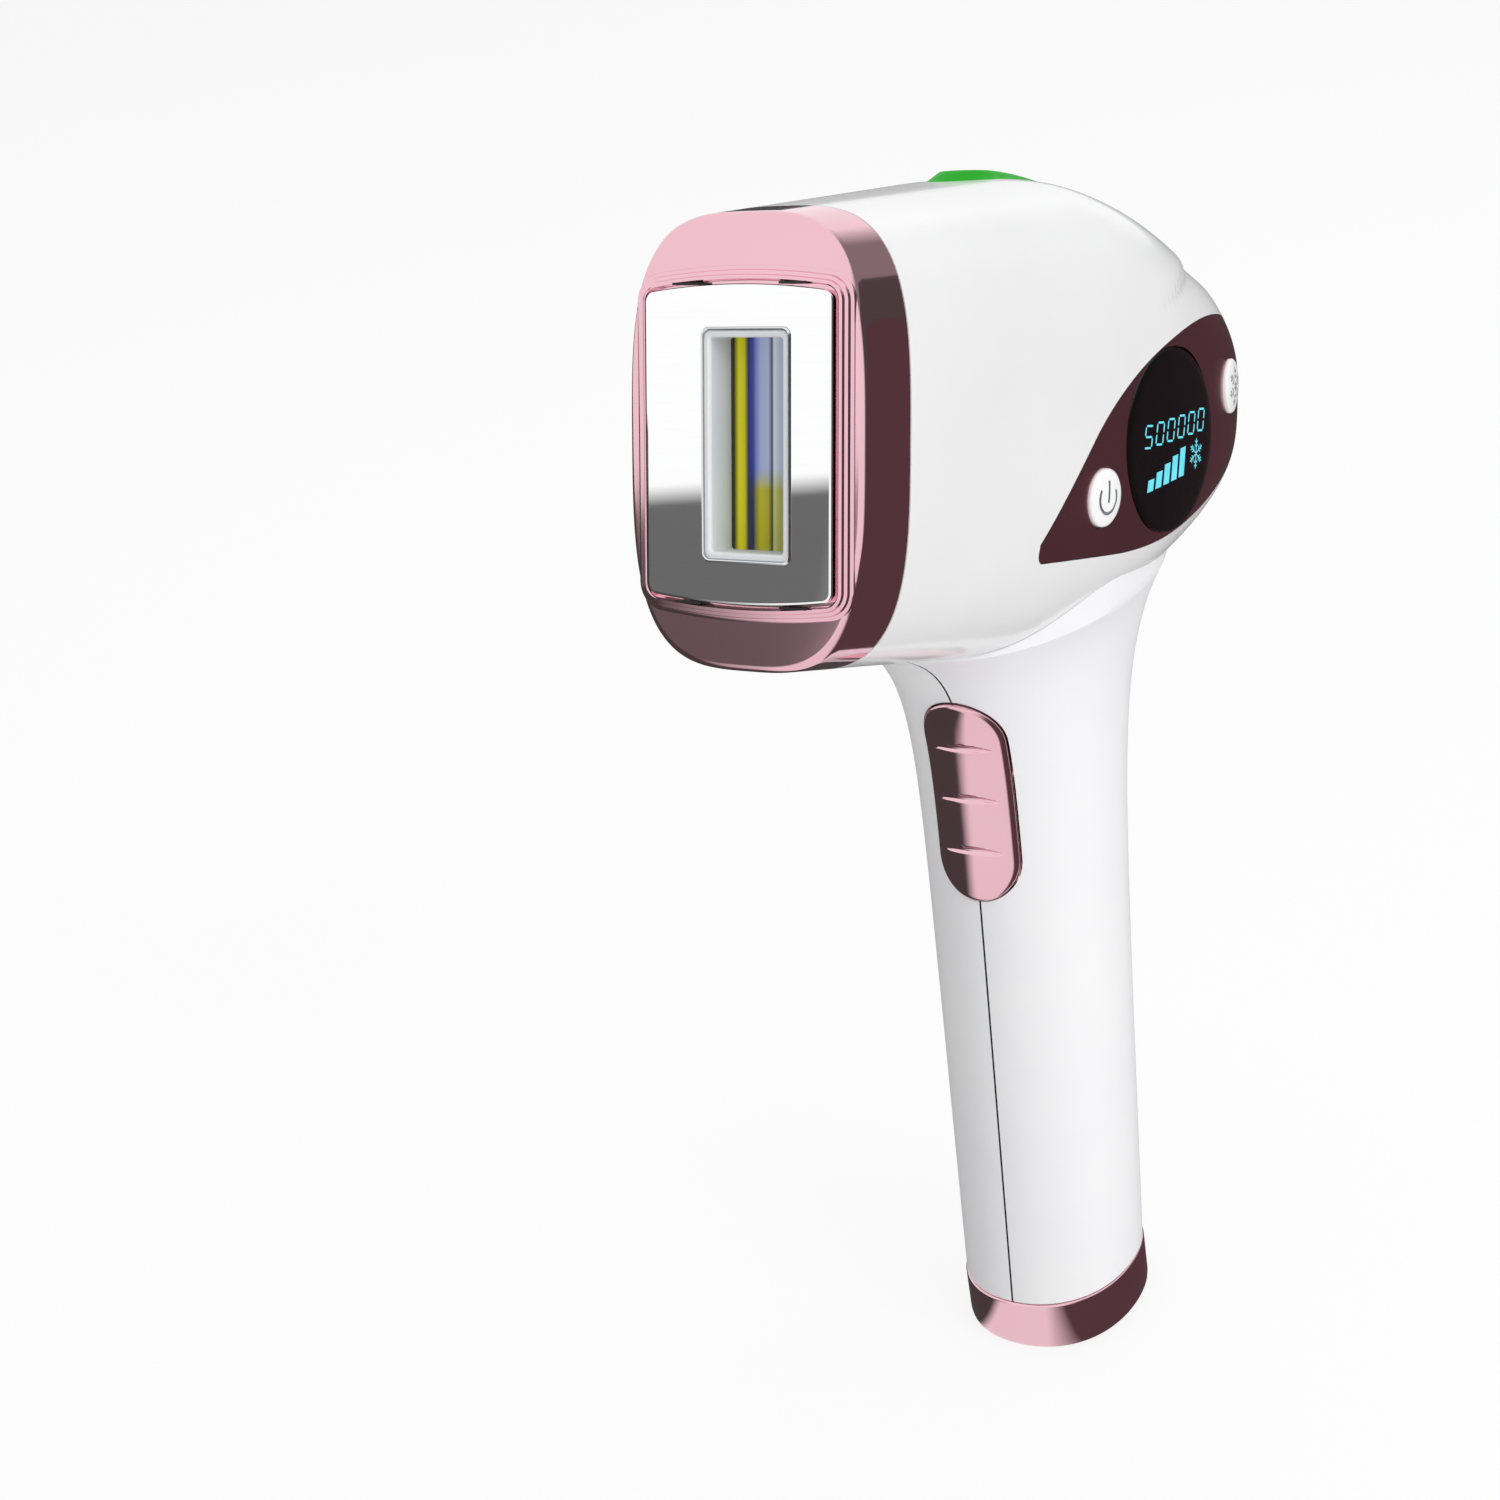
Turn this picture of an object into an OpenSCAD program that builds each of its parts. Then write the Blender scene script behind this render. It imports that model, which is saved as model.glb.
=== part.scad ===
// Hand-held flash hair remover: a pistol-shaped handset with a tapered head, a removable
// lamp head at the front, a teardrop control panel on the right side and a trigger on the
// handle. It stands on its end cap. The origin is the middle of the cap's flat base, the
// lamp faces -Y and +Z is up. All lengths are millimetres.

/* [Head] */
// Upward tilt of the head while the handset stands, in degrees
head_pitch = 16; // [12:0.5:19]
// Height of the lamp window's centre above the base
window_z = 184.2; // [178:0.2:192]
// Distance of the window in front of the base's centre
window_y = 62.3; // [58:0.1:66]
// Width of the front face
face_w = 38.7; // [36:0.1:42]
// Height of the front face
face_h = 64; // [60:0.5:68]
// Greatest width of the head, beside the display
head_w = 59.6; // [56:0.2:64]
// Length of the head from the window plane to the tail
head_l = 135.8; // [132:0.2:142]
// Distance from the window plane to the widest section
wide_y = 85.2; // [80:0.2:90]
// Height of the crown above the window's centre
crown_z = 40; // [38:0.5:44]
// Distance from the window plane to the crown
crown_y = 69.4; // [64:0.2:74]
// Depth of the belly below the window's centre
belly_z = 35.2; // [34:0.2:38]
// Distance from the window plane to the belly's lowest point
belly_y = 51.5; // [46:0.5:56]
// Height of the tail's tip above the window's centre
tail_z = 2.1; // [0:0.1:4]
// Wall of the head shells
head_wall = 2.4; // [2:0.1:3]

/* [Lamp head] */
// Depth of the lamp casing's side band
band_d = 12.5; // [11:0.1:14]
// Wall of the lamp casing
casing_wall = 1.8; // [1.4:0.1:2.2]
// Width of the mirror cooling plate
plate_w = 30.8; // [29.5:0.1:31.5]
// Height of the cooling plate along its middle
plate_h = 44.8; // [43:0.1:46]
// Rise of the plate's arched top and bottom edges
plate_arch = 1.1; // [0.6:0.1:1.6]
// Corner radius of the cooling plate
plate_r = 1.6; // [1:0.1:2.2]
// How far the plate stands in front of the casing's face
plate_proud = 2; // [1.4:0.1:2.4]
// Width of the flash window's opening
window_w = 11.9; // [11:0.1:13]
// Height of the flash window's opening
window_h = 30; // [28:0.1:31]
// Sideways place of the window on the plate
window_x = 1.5; // [0:0.1:2]
// Depth of the window's recess down to the filter
window_d = 5.6; // [5.2:0.1:6.2]
// Width of the white frame round the opening
frame_t = 1; // [0.8:0.05:1.2]
// Width of the chrome trim round the white frame
trim_t = 0.45; // [0.35:0.05:0.6]
// Width of the plug-in neck behind the lamp casing
neck_w = 26; // [24:0.5:27]
// Height of the plug-in neck
neck_h = 46; // [42:0.5:48]
// Length of the plug-in neck
neck_l = 11.5; // [10:0.1:13]
// Bore radius of the xenon lamp's glass tube
lamp_bore = 1.7; // [1.3:0.1:1.9]
// Wall of the xenon lamp's glass tube
lamp_wall = 0.9; // [0.6:0.1:1.1]

/* [Control panel] */
// Radius of the round display window
display_r = 14.9; // [13.5:0.1:15.5]
// Distance from the window plane to the display's centre
display_y = 85; // [83:0.1:87]
// Height of the display's centre above the window's centre
display_z = -1.6; // [-2.4:0.1:-1]
// Thickness of the panel and of the display window
panel_t = 1.5; // [1.2:0.1:1.7]
// Radius of the two push buttons
button_r = 4.6; // [4:0.1:5]
// Place of the power button along the head
power_y = 64.2; // [62.5:0.1:65]
// Height of the power button
power_z = -9.9; // [-11:0.1:-9]
// Place of the cooling button along the head
cooling_y = 111.4; // [110:0.1:112.5]
// Height of the cooling button
cooling_z = 6.5; // [5.5:0.1:7.5]
// Travel of the push buttons
button_travel = 0.6; // [0.4:0.05:0.8]

/* [Handle] */
// Width of the handle above the cap
handle_w = 30.4; // [28:0.2:33]
// Depth of the handle above the cap
handle_d = 35.8; // [34:0.2:38]
// Height of the end cap
cap_h = 9.6; // [8.5:0.1:11]
// Rise of the front face towards the rear, per millimetre of height
front_slope = 0.091; // [0.07:0.001:0.1]
// Rise of the rear face towards the rear, per millimetre of height
rear_slope = 0.112; // [0.09:0.001:0.13]
// Growth of the handle's half width, per millimetre of height
side_slope = 0.016; // [0.01:0.001:0.025]
// Reach of the handle's front flare under the head
front_flare = 16.5; // [12:0.5:18]
// Reach of the handle's rear flare under the head
rear_flare = 13; // [10:0.5:15]
// Reach of the handle's side flares under the head
side_flare = 7; // [5:0.5:8]
// Wall of the handle shells
handle_wall = 2.2; // [1.8:0.1:2.6]
// Width of the trigger
trigger_w = 15; // [13:0.2:16.5]
// Length of the trigger
trigger_l = 36.5; // [33:0.5:38]
// Height of the trigger's middle above the base
trigger_z = 105.2; // [103:0.2:107]
// Travel of the trigger
trigger_travel = 1.5; // [1:0.1:1.8]
// Wire thickness of the trigger's return spring
spring_wire = 0.6; // [0.4:0.05:0.7]
// Coils of the return spring
spring_turns = 5; // [4:1:6]

/* [Cooling and power] */
// Side of the square fan frame
fan_size = 38; // [36:0.5:40]
// Thickness of the fan frame
fan_t = 10; // [9:0.5:10.5]
// Blades on the fan rotor
fan_blades = 7; // [5:1:9]
// Fins on the heat sink
sink_fins = 9; // [7:1:11]
// Radius of the flash capacitor
capacitor_r = 10.4; // [9:0.1:10.8]
// Length of the flash capacitor
capacitor_l = 48; // [40:1:50]
// Radius of the power inlet's hole
inlet_r = 2.85; // [2.6:0.05:3]
// Depth of the power inlet's hole
inlet_l = 9.5; // [8.5:0.1:9.5]

/* [Hidden] */
$fn = 48;
gap = 0.15;                 // clearance between pieces that are fixed to each other
slide_gap = 0.3;            // clearance round pieces that move
eps = 0.01;
big = 200;
ring_n = 40;                // points round a section of the housing
inner_n = 24;               // points round a section of a hollow
head_count = 16;            // sections along the head
head_n = 3.3;               // squareness of the head's sections
handle_n = 2.2;             // squareness of the handle's sections
joint_z = window_z - 49;    // height where the handle meets the head
lean = atan((front_slope + rear_slope) / 2);
screw_r = 1.3;
boss_r = 3;

// ---- Curves ------------------------------------------------------------------------

function clamp01(v) = min(max(v, 0), 1);
function spow(c, n) = sign(c) * pow(abs(c), 2 / n);

// Falls from 1 to 0 between y1 and the tail, along a superellipse of power m
function tail_fall(y, y1, m, d) = pow(1 - pow(clamp01((y - y1) / (head_l - d - y1)), m), 1 / m);

// Half width, top and bottom of the head's section at y, set in by d
function half_w(y, d = 0) =
    (face_w / 2 + (head_w - face_w) / 2 * clamp01(y / wide_y) - d) * tail_fall(y, wide_y, 3.1, d);
function top_z(y, d = 0) =
    tail_z + (face_h / 2 + (crown_z - face_h / 2) * clamp01(y / crown_y) - d - tail_z)
    * tail_fall(y, crown_y, 1.6, d);
function bottom_z(y, d = 0) =
    tail_z - (face_h / 2 + (belly_z - face_h / 2) * clamp01(y / belly_y) - d + tail_z)
    * tail_fall(y, belly_y, 1.6, d);

// Closed outline of the head's section at y, as [x, z] points
function head_outline(y, d = 0, n = ring_n) =
    let (w = half_w(y, d), a = top_z(y, d), b = bottom_z(y, d))
    [for (i = [0 : n - 1]) let (t = 360 * i / n)
        [w * spow(cos(t), head_n), (a + b) / 2 + (a - b) / 2 * spow(sin(t), head_n)]];

// Places of the sections from y0 to the tail, closer together towards the tail
function head_steps(y0, d, count) =
    [for (i = [0 : count - 1]) y0 + (head_l - d - y0) * (1 - pow(1 - i / count, 2.6))];

// Half width of the right side's surface at a place on the head, and its slopes
function side_x(y, z) =
    let (a = top_z(y), b = bottom_z(y))
    half_w(y) * pow(1 - pow(abs((z - (a + b) / 2) / ((a - b) / 2)), head_n), 1 / head_n);
function side_normal(y, z) =
    let (s = 0.5, v = [1, (side_x(y - s, z) - side_x(y + s, z)) / (2 * s),
                       (side_x(y, z - s) - side_x(y, z + s)) / (2 * s)])
    v / norm(v);

// Flare of the handle towards the head, 1 at the joint
function flare(z, reach) = exp(min(z - joint_z, 1) / reach);

// Front, rear and half width of the handle's section at height z, set in by d
function handle_front(z, d = 0) =
    -handle_d / 2 + front_slope * (z - cap_h) - front_flare * flare(z, 8.7) + d;
function handle_rear(z, d = 0) =
    handle_d / 2 + rear_slope * (z - cap_h) + rear_flare * flare(z, 14) - d;
function handle_half(z, d = 0) =
    handle_w / 2 + side_slope * (z - cap_h) + side_flare * flare(z, 12) - d;
function handle_mid(z) = (handle_front(z) + handle_rear(z)) / 2;
// Half width of the handle's surface at a place on its section
function handle_x(y, z) = handle_half(z)
    * pow(1 - pow(abs(y - handle_mid(z)) * 2 / (handle_rear(z) - handle_front(z)), handle_n), 1 / handle_n);
function handle_ring(z, d = 0, n = ring_n) =
    let (a = handle_front(z, d), b = handle_rear(z, d), w = handle_half(z, d))
    [for (i = [0 : n - 1]) let (t = 360 * i / n)
        [w * spow(cos(t), handle_n), (a + b) / 2 + (b - a) / 2 * spow(sin(t), handle_n), z]];

// Solid through a list of rings that all have the same number of points
module loft(rings) {
    m = len(rings[0]);
    k = len(rings);
    sides = [for (i = [0 : k - 2], j = [0 : m - 1])
        let (a = i * m + j, b = i * m + (j + 1) % m)
        each [[a, b, a + m], [b, b + m, a + m]]];
    polyhedron(points = [for (r = rings) each r],
        faces = concat(sides, [[for (j = [m - 1 : -1 : 0]) j]],
                       [[for (j = [0 : m - 1]) (k - 1) * m + j]]), convexity = 6);
}

module in_head() {
    translate([0, -window_y, window_z]) rotate([-head_pitch, 0, 0]) children();
}

// Extrudes a shape drawn in X and Z backwards, from y0 to y1
module span_y(y0, y1) {
    translate([0, y1, 0]) rotate([90, 0, 0]) linear_extrude(y1 - y0) children();
}

// Extrudes a shape drawn in Y and Z sideways, from x0 to x1
module span_x(x0, x1) {
    translate([x0, 0, 0]) rotate([90, 0, 90]) linear_extrude(x1 - x0) children();
}

module block(x, y, z) {
    translate([x[0], y[0], z[0]]) cube([x[1] - x[0], y[1] - y[0], z[1] - z[0]]);
}

module round_rect(w, h, r) {
    square([w - 2 * r, h], center = true);
    square([w, h - 2 * r], center = true);
    for (x = [-1, 1], z = [-1, 1]) translate([x * (w / 2 - r), z * (h / 2 - r)]) circle(r, $fn = 24);
}

// Puts local +Z along the right side's surface normal, with local X towards the tail
module on_side(y, z) {
    n = side_normal(y, z);
    translate([side_x(y, z), y, z]) rotate([0, acos(n[2]), atan2(n[1], n[0])])
        rotate([0, 0, 90]) children();
}

// ---- Head --------------------------------------------------------------------------

function head_ring(y, d = 0, n = ring_n) = [for (p = head_outline(y, d, n)) [p[0], y, p[1]]];

module head_solid(y0, d = 0, count = head_count, n = ring_n) {
    loft([for (y = head_steps(y0, d, count)) head_ring(y, d, n)]);
}

// The part of the head's outer form that the handle runs up to
module head_middle() {
    steps = head_steps(band_d + gap, 0, head_count);
    loft([for (i = [1 : head_count - 5]) head_ring(steps[i])]);
}

// The hollow of the head shells, open at the front
module head_hollow() { head_solid(band_d - 1, head_wall, 12, inner_n); }

module half_space(s) { translate([s > 0 ? 0 : -big, -big, -big]) cube([big, 2 * big, 2 * big]); }

// The teardrop outline of the control panel, seen from the side
module panel_outline(d = 0) {
    tip_y = 47.2;
    low_z = -19.1;
    arc_r = 62;
    arc_y = 106;
    low_r = 95;
    low_y = 70;
    arc_z = 18.4 - arc_r;
    r = 1.4;
    polygon(concat(
        [[tip_y + r + d, low_z + d], [tip_y + d, low_z + r + d], [tip_y + d, low_z + 3 + d]],
        [for (t = [45 : -5 : -35]) [arc_y - (arc_r - d) * sin(t), arc_z + (arc_r - d) * cos(t)]],
        [for (t = [45 : -5 : 0]) [low_y + (low_r - d) * sin(t), low_z + low_r - (low_r - d) * cos(t)]]));
}

// The head's form round the control panel, set in by d and longer at the front by more
module panel_bed(d, more = 0) {
    loft([for (y = concat(more > 0 ? [44 - more] : [], head_steps(44, d, 13))) head_ring(y, d)]);
}

module panel_holes(d) {
    on_side(display_y, display_z) cylinder(r = display_r + d, h = 16, center = true);
    on_side(power_y, power_z) cylinder(r = button_r + slide_gap, h = 16, center = true);
    on_side(cooling_y, cooling_z) cylinder(r = button_r + slide_gap, h = 16, center = true);
}

module lens_outline(len, w) {
    square([w, len - w], center = true);
    for (s = [-1, 1]) translate([0, s * (len - w) / 2]) circle(w / 2, $fn = 32);
}

lens_y = 79;
lens_l = 36;
lens_w = 13;
lens_z = top_z(lens_y);

module status_lens() {
    color("limegreen") in_head() translate([0, lens_y, lens_z]) hull() {
        translate([0, 0, -3.4]) linear_extrude(3) lens_outline(lens_l, lens_w);
        translate([0, 0, 1.7]) linear_extrude(0.3) lens_outline(lens_l - 7, lens_w - 5);
    }
}

module wire_passage() {
    translate([0, handle_mid(joint_z) - 6, joint_z - 20]) linear_extrude(60) round_rect(18, 26, 6);
}

// Ribs of the head: screw posts that reach the parting plane
head_posts = [[32, 26], [32, -25], [92, 27], [70, -25]];

module head_half(s) {
    in_head() difference() {
        intersection() {
            half_space(s);
            union() {
                difference() {
                    head_solid(band_d + gap);
                    head_hollow();
                }
                for (p = head_posts) {
                    reach = side_x(p[0], p[1] + sign(p[1]) * boss_r) - head_wall / 2;
                    translate([0, p[0], p[1]]) rotate([0, 90, 0])
                        cylinder(r = boss_r, h = 2 * reach, center = true);
                }
            }
        }
        translate([0, lens_y, lens_z - 6]) linear_extrude(12) lens_outline(lens_l + 2 * gap, lens_w + 2 * gap);
        for (p = head_posts) translate([0, p[0], p[1]]) rotate([0, 90, 0])
            if (s < 0) {
                translate([0, 0, -40]) cylinder(r = screw_r + gap, h = 41);
                translate([0, 0, -40]) cylinder(r = 2.4 + gap, h = 30);
            } else cylinder(r = screw_r + gap, h = 9);
    }
}

module head_shell_left() {
    vent_r = fan_size / 2 - 2;
    color("whitesmoke") difference() {
        head_half(-1);
        wire_passage();
        in_head() for (i = [-4 : 4]) {
            z = fan_z + i * 3.6;
            reach = sqrt(pow(vent_r, 2) - pow(i * 3.6, 2));
            block([-40, -15], [fan_y - reach, fan_y + reach], [z - 0.9, z + 0.9]);
        }
    }
}

module head_shell_right() {
    color("whitesmoke") difference() {
        head_half(1);
        wire_passage();
        in_head() {
            difference() {
                span_x(0, 60) panel_outline(-gap);
                panel_bed(panel_t + gap);
            }
            on_side(display_y, display_z) cylinder(r = display_r - 1, h = 20, center = true);
            on_side(power_y, power_z) cylinder(r = button_r + 1.6, h = 20, center = true);
            on_side(cooling_y, cooling_z) cylinder(r = button_r + 1.6, h = 20, center = true);
        }
    }
}

module control_panel() {
    color([0.36, 0.24, 0.27]) in_head() difference() {
        intersection() {
            difference() {
                panel_bed(0);
                panel_bed(panel_t, 1);
            }
            span_x(0, 60) panel_outline(0);
        }
        panel_holes(gap);
    }
}

module display_window() {
    dome = 0.5;
    color([0.05, 0.05, 0.06]) in_head() on_side(display_y, display_z)
        rotate_extrude($fn = 96) polygon(concat([[0, -panel_t], [display_r, -panel_t]],
            [for (i = [0 : 8]) let (r = display_r * (1 - i / 8)) [r, -dome * pow(r / display_r, 2)]]));
}

// ---- Controls ----------------------------------------------------------------------

board_depth = 8;            // depth of the display board's face below the panel's surface
board_t = 1.4;

module display_module() {
    color([0.2, 0.2, 0.22]) in_head() on_side(display_y, display_z) {
        translate([0, 0, -board_depth]) cylinder(r = display_r - 1.6, h = board_depth - panel_t);
        translate([0, 0, -board_depth]) linear_extrude(1.4) square([22, 24], center = true);
    }
}

module display_board() {
    color("darkgreen") in_head() on_side(display_y, display_z)
        translate([0, 0, -board_depth - board_t]) linear_extrude(board_t) {
            circle(display_r + 0.6);
            translate([(power_y - display_y) / 2 - 3, (power_z - display_z) / 2])
                square([power_y < display_y ? display_y - power_y : 10, 12], center = true);
        }
}

stem_z = 3;                 // depth of a push button's flange below the panel's surface

// Tactile switch under a push button, its plunger just below the button's flange
module tact_switch(depth) {
    translate([0, 0, -depth]) {
        linear_extrude(depth - stem_z - button_travel - 0.6) square(6, center = true);
        cylinder(r = 1.6, h = depth - stem_z - button_travel - 0.1);
    }
}

module power_switch() {
    color("dimgray") in_head() on_side(power_y, power_z) tact_switch(board_depth - 1.9);
}

module cooling_switch() {
    color("dimgray") in_head() on_side(cooling_y, cooling_z) {
        tact_switch(6.4);
        translate([0, 0, -7.6]) linear_extrude(1.2) square([10, 12], center = true);
    }
}

// Push button: domed cap with a flange behind the panel
module push_button() {
    difference() {
        intersection() {
            translate([0, 0, -stem_z]) cylinder(r = button_r, h = stem_z + 0.9);
            translate([0, 0, 0.9 - 24]) sphere(24, $fn = 96);
        }
        children();
    }
    translate([0, 0, -stem_z]) cylinder(r = button_r + 0.9, h = 0.75);
}

module power_button() {
    color("white") in_head() on_side(power_y, power_z) push_button() {
        translate([0, 0, 0.45]) difference() {
            cylinder(r = 2.7, h = 2);
            translate([0, 0, -1]) cylinder(r = 2.1, h = 4);
            translate([0, 2.4, 0]) cube([2.4, 3, 4], center = true);
        }
        translate([0, 1.6, 1.45]) cube([0.6, 3.2, 2], center = true);
    }
}

module cooling_button() {
    color("white") in_head() on_side(cooling_y, cooling_z) push_button() {
        for (a = [0, 60, 120]) rotate([0, 0, a]) translate([0, 0, 1.4]) cube([0.5, 6.2, 2], center = true);
    }
}

// ---- Lamp head ---------------------------------------------------------------------

// The cooling plate's outline: straight sides, arched top and bottom, small corners
module plate_outline(d = 0) {
    w = plate_w + 2 * d;
    h = plate_h + 2 * d;
    r = max(plate_r + d, 0.4);
    arc_r = (pow(w / 2, 2) + pow(plate_arch, 2)) / (2 * plate_arch);
    round_rect(w, h - 2 * plate_arch, r);
    intersection() {
        square([w - 2 * r, h], center = true);
        translate([0, h / 2 - arc_r]) circle(arc_r, $fn = 360);
        translate([0, arc_r - h / 2]) circle(arc_r, $fn = 360);
    }
}

module window_outline(d) {
    translate([window_x, 0]) round_rect(window_w + 2 * d, window_h + 2 * d, 0.5 + d / 2);
}

face_y = plate_proud;       // the casing's front face, behind the window plane
floor_y = face_y + casing_wall;
plate_back = floor_y + 1;
edge_r = 1;                 // rounding of the casing's front edge

module lamp_casing() {
    step = plate_proud / 4;
    color([0.42, 0.27, 0.31]) in_head() difference() {
        union() {
            loft([for (p = [[0, edge_r], [0.3, 0.35], [edge_r, 0], [band_d - face_y, 0]])
                [for (q = head_outline(face_y + p[0], p[1])) [q[0], face_y + p[0], q[1]]]]);
            for (i = [0 : 2]) span_y(face_y - step * (i + 1), face_y + 1) plate_outline(2.1 - 0.6 * i);
        }
        loft([for (y = [floor_y, band_d + 1])
            head_ring(y, casing_wall, inner_n)]);
        span_y(-1, floor_y + 1) plate_outline(-1.6);
        span_y(-1, face_y + 0.4) plate_outline(gap + 0.25);
        sensor_blocks();
    }
}

module cooling_plate() {
    color("silver") in_head() difference() {
        union() {
            span_y(0, face_y + 0.4) plate_outline(0);
            span_y(face_y, plate_back) plate_outline(-1.6 - gap);
        }
        span_y(-1, floor_y + 2) window_outline(frame_t + trim_t + eps);
    }
}

// Four small contact strips along the plate's top and bottom edges
module sensor_blocks() {
    for (s = [-1, 1], x = [-8.8, 8.8]) translate([x, 0, s * (plate_h / 2 - 0.1)])
        block([-2.2, 2.2], [0.5, face_y + 0.4], s > 0 ? [0, 0.35] : [-0.35, 0]);
}

module skin_sensors() { color([0.1, 0.1, 0.1]) in_head() sensor_blocks(); }

module window_trim() {
    color("gainsboro") in_head() difference() {
        span_y(-0.35, floor_y) window_outline(frame_t + trim_t);
        span_y(-1, floor_y + 1) window_outline(frame_t + eps);
    }
}

module window_frame() {
    color("white") in_head() difference() {
        union() {
            span_y(-0.05, window_d) window_outline(frame_t);
            span_y(plate_back + eps, window_d) window_outline(frame_t + trim_t + 0.8);
        }
        span_y(-1, window_d + 1) window_outline(0);
    }
}

module filter_glass() {
    color([0.75, 0.75, 0.1, 0.6]) in_head()
        span_y(window_d, window_d + 1.1) window_outline(frame_t + trim_t);
}

lamp_y = window_d + 1.1 + 0.5 + lamp_bore + lamp_wall;
lamp_r = lamp_bore + lamp_wall;
tube_over = 2;              // length of the tube past the window at each end
neck_wall = 1.5;
ferrule_gap = 1.3;          // room between a ferrule's end and the neck's wall
ferrule_l = neck_h / 2 - neck_wall - ferrule_gap - window_h / 2 - tube_over;

module lamp_tube() {
    color([0.8, 0.9, 1, 0.4]) in_head() translate([window_x, lamp_y, 0]) difference() {
        cylinder(r = lamp_r, h = window_h + 2 * tube_over, center = true);
        cylinder(r = lamp_bore, h = window_h + 2 * tube_over + 1, center = true);
    }
}

module lamp_electrodes() {
    color("dimgray") in_head() for (s = [-1, 1])
        translate([window_x, lamp_y, s * (window_h / 2 + tube_over)]) rotate([s > 0 ? 0 : 180, 0, 0]) {
            cylinder(r = lamp_r, h = ferrule_l);
            translate([0, 0, -5]) cylinder(r = lamp_bore - 0.5, h = 5 + eps);
            translate([0, 0, ferrule_l - eps]) cylinder(r = 0.6, h = 1.5);
        }
}

module reflector() {
    depth = lamp_y + lamp_r + 1.2 - window_d;
    wall = 0.7;
    half = window_w / 2 + frame_t;
    trough_r = half - wall;
    color("lightgray") in_head() translate([window_x, 0, 0]) linear_extrude(window_h + 3, center = true)
        difference() {
            translate([0, window_d + 1.1]) intersection() {
                union() {
                    translate([-half, 0]) square([2 * half, 2]);
                    translate([0, 2]) circle(half, $fn = 64);
                }
                translate([-half, 0]) square([2 * half, depth + wall]);
            }
            translate([0, window_d + 1.1]) {
                translate([-trough_r, -1]) square([2 * trough_r, 3]);
                translate([0, 2]) circle(trough_r, $fn = 64);
            }
        }
}

back_t = 2;
neck_y = band_d - back_t;

module lamp_back() {
    color("silver") in_head() difference() {
        union() {
            loft([for (y = [neck_y, band_d])
                head_ring(y, casing_wall + gap, inner_n)]);
            span_y(neck_y, band_d + neck_l) round_rect(neck_w, neck_h, 2);
        }
        span_y(neck_y - 1, band_d + neck_l - 1.6) round_rect(neck_w - 2 * neck_wall, neck_h - 2 * neck_wall, 1);
        for (x = pin_places) span_y(band_d, band_d + neck_l + 1) translate([x, pin_z]) circle(1, $fn = 24);
    }
}

pin_places = [-7, 0, 7];
pin_z = -15;

module contact_pins() {
    color("gold") in_head() for (x = pin_places) translate([x, band_d + neck_l - 4, pin_z])
        rotate([-90, 0, 0]) {
            cylinder(r = 0.95, h = 8, $fn = 24);
            cylinder(r = 1.7, h = 4 - 1.6, $fn = 24);
        }
}

// ---- Inside the head ---------------------------------------------------------------

socket_y = band_d + 0.5;
socket_back = band_d + neck_l + 0.5;
back_y = socket_back + 1.6;

module lamp_socket() {
    color([0.25, 0.25, 0.27]) in_head() difference() {
        union() {
            loft([for (y = [socket_y, socket_y + 1.8])
                head_ring(y, head_wall + gap, inner_n)]);
            span_y(socket_y, back_y) round_rect(neck_w + 4, neck_h + 4, 3);
        }
        span_y(socket_y - 1, socket_back) round_rect(neck_w + 2 * slide_gap + 0.2, neck_h + 2 * slide_gap + 0.2, 2);
        for (x = pin_places) span_y(socket_back - 1, back_y + 1)
            translate([x, pin_z]) circle(1.4, $fn = 24);
    }
}

module contact_block() {
    color([0.15, 0.15, 0.16]) in_head() difference() {
        block([-11, 11], [back_y, back_y + 6], [pin_z - 5, pin_z + 5]);
        for (x = pin_places) span_y(back_y - 1, back_y + 4) translate([x, pin_z]) circle(1.3, $fn = 24);
    }
}

fan_y = 62;
fan_z = 2;
chassis_t = 2;

module chassis() {
    color("gray") in_head() difference() {
        union() {
            span_x(-chassis_t / 2, chassis_t / 2) polygon([[back_y, -8], [back_y, 20], [50, 27], [84, 27],
                [88, 20], [88, -12], [62, -19], [36, -19], [36, -8]]);
            block([-9, 9], [83, 92], [-14, -12]);
            for (y = [38, 78], z = [-12, 18]) translate([0, y, z]) rotate([0, 90, 0]) cylinder(r = 2, h = 6);
        }
        for (z = [-4, 10]) span_x(-2, 2) translate([44, z]) circle(3);
    }
}

module main_board() {
    color("darkgreen") in_head() {
        block([6, 7.6], [34, 82], [-17, 22]);
        block([7.6, 9.4], [48, 60], [-4, 8]);
        block([7.6, 12], [66, 78], [8, 18]);
        for (y = [40, 46]) translate([7.6, y, 15]) rotate([0, 90, 0]) cylinder(r = 2.4, h = 6, $fn = 24);
        block([7.6, 11], [38, 44], [-14, -6]);
    }
}

module heat_sink() {
    pitch = (fan_size - 1) / (sink_fins - 1);
    color("silver") in_head() translate([0, fan_y - fan_size / 2, fan_z - fan_size / 2]) {
        block([-chassis_t / 2 - 2, -chassis_t / 2], [0, fan_size], [0, fan_size]);
        for (i = [0 : sink_fins - 1]) block([-9.5, -chassis_t / 2 - 1], [i * pitch, i * pitch + 1], [0, fan_size]);
    }
}

module cooling_module() {
    color("white") in_head() block([-14, -2], [back_y, back_y + 3.6], [4, 20]);
}

module heat_pipes() {
    color([0.8, 0.5, 0.3]) in_head() for (z = [8, 16])
        span_y(back_y + 3.6, fan_y - fan_size / 2) translate([-6, z]) circle(2, $fn = 32);
}

fan_x = -9.5 - fan_t;
fan_r = fan_size / 2 - 1;
pin_r = 1;

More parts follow.
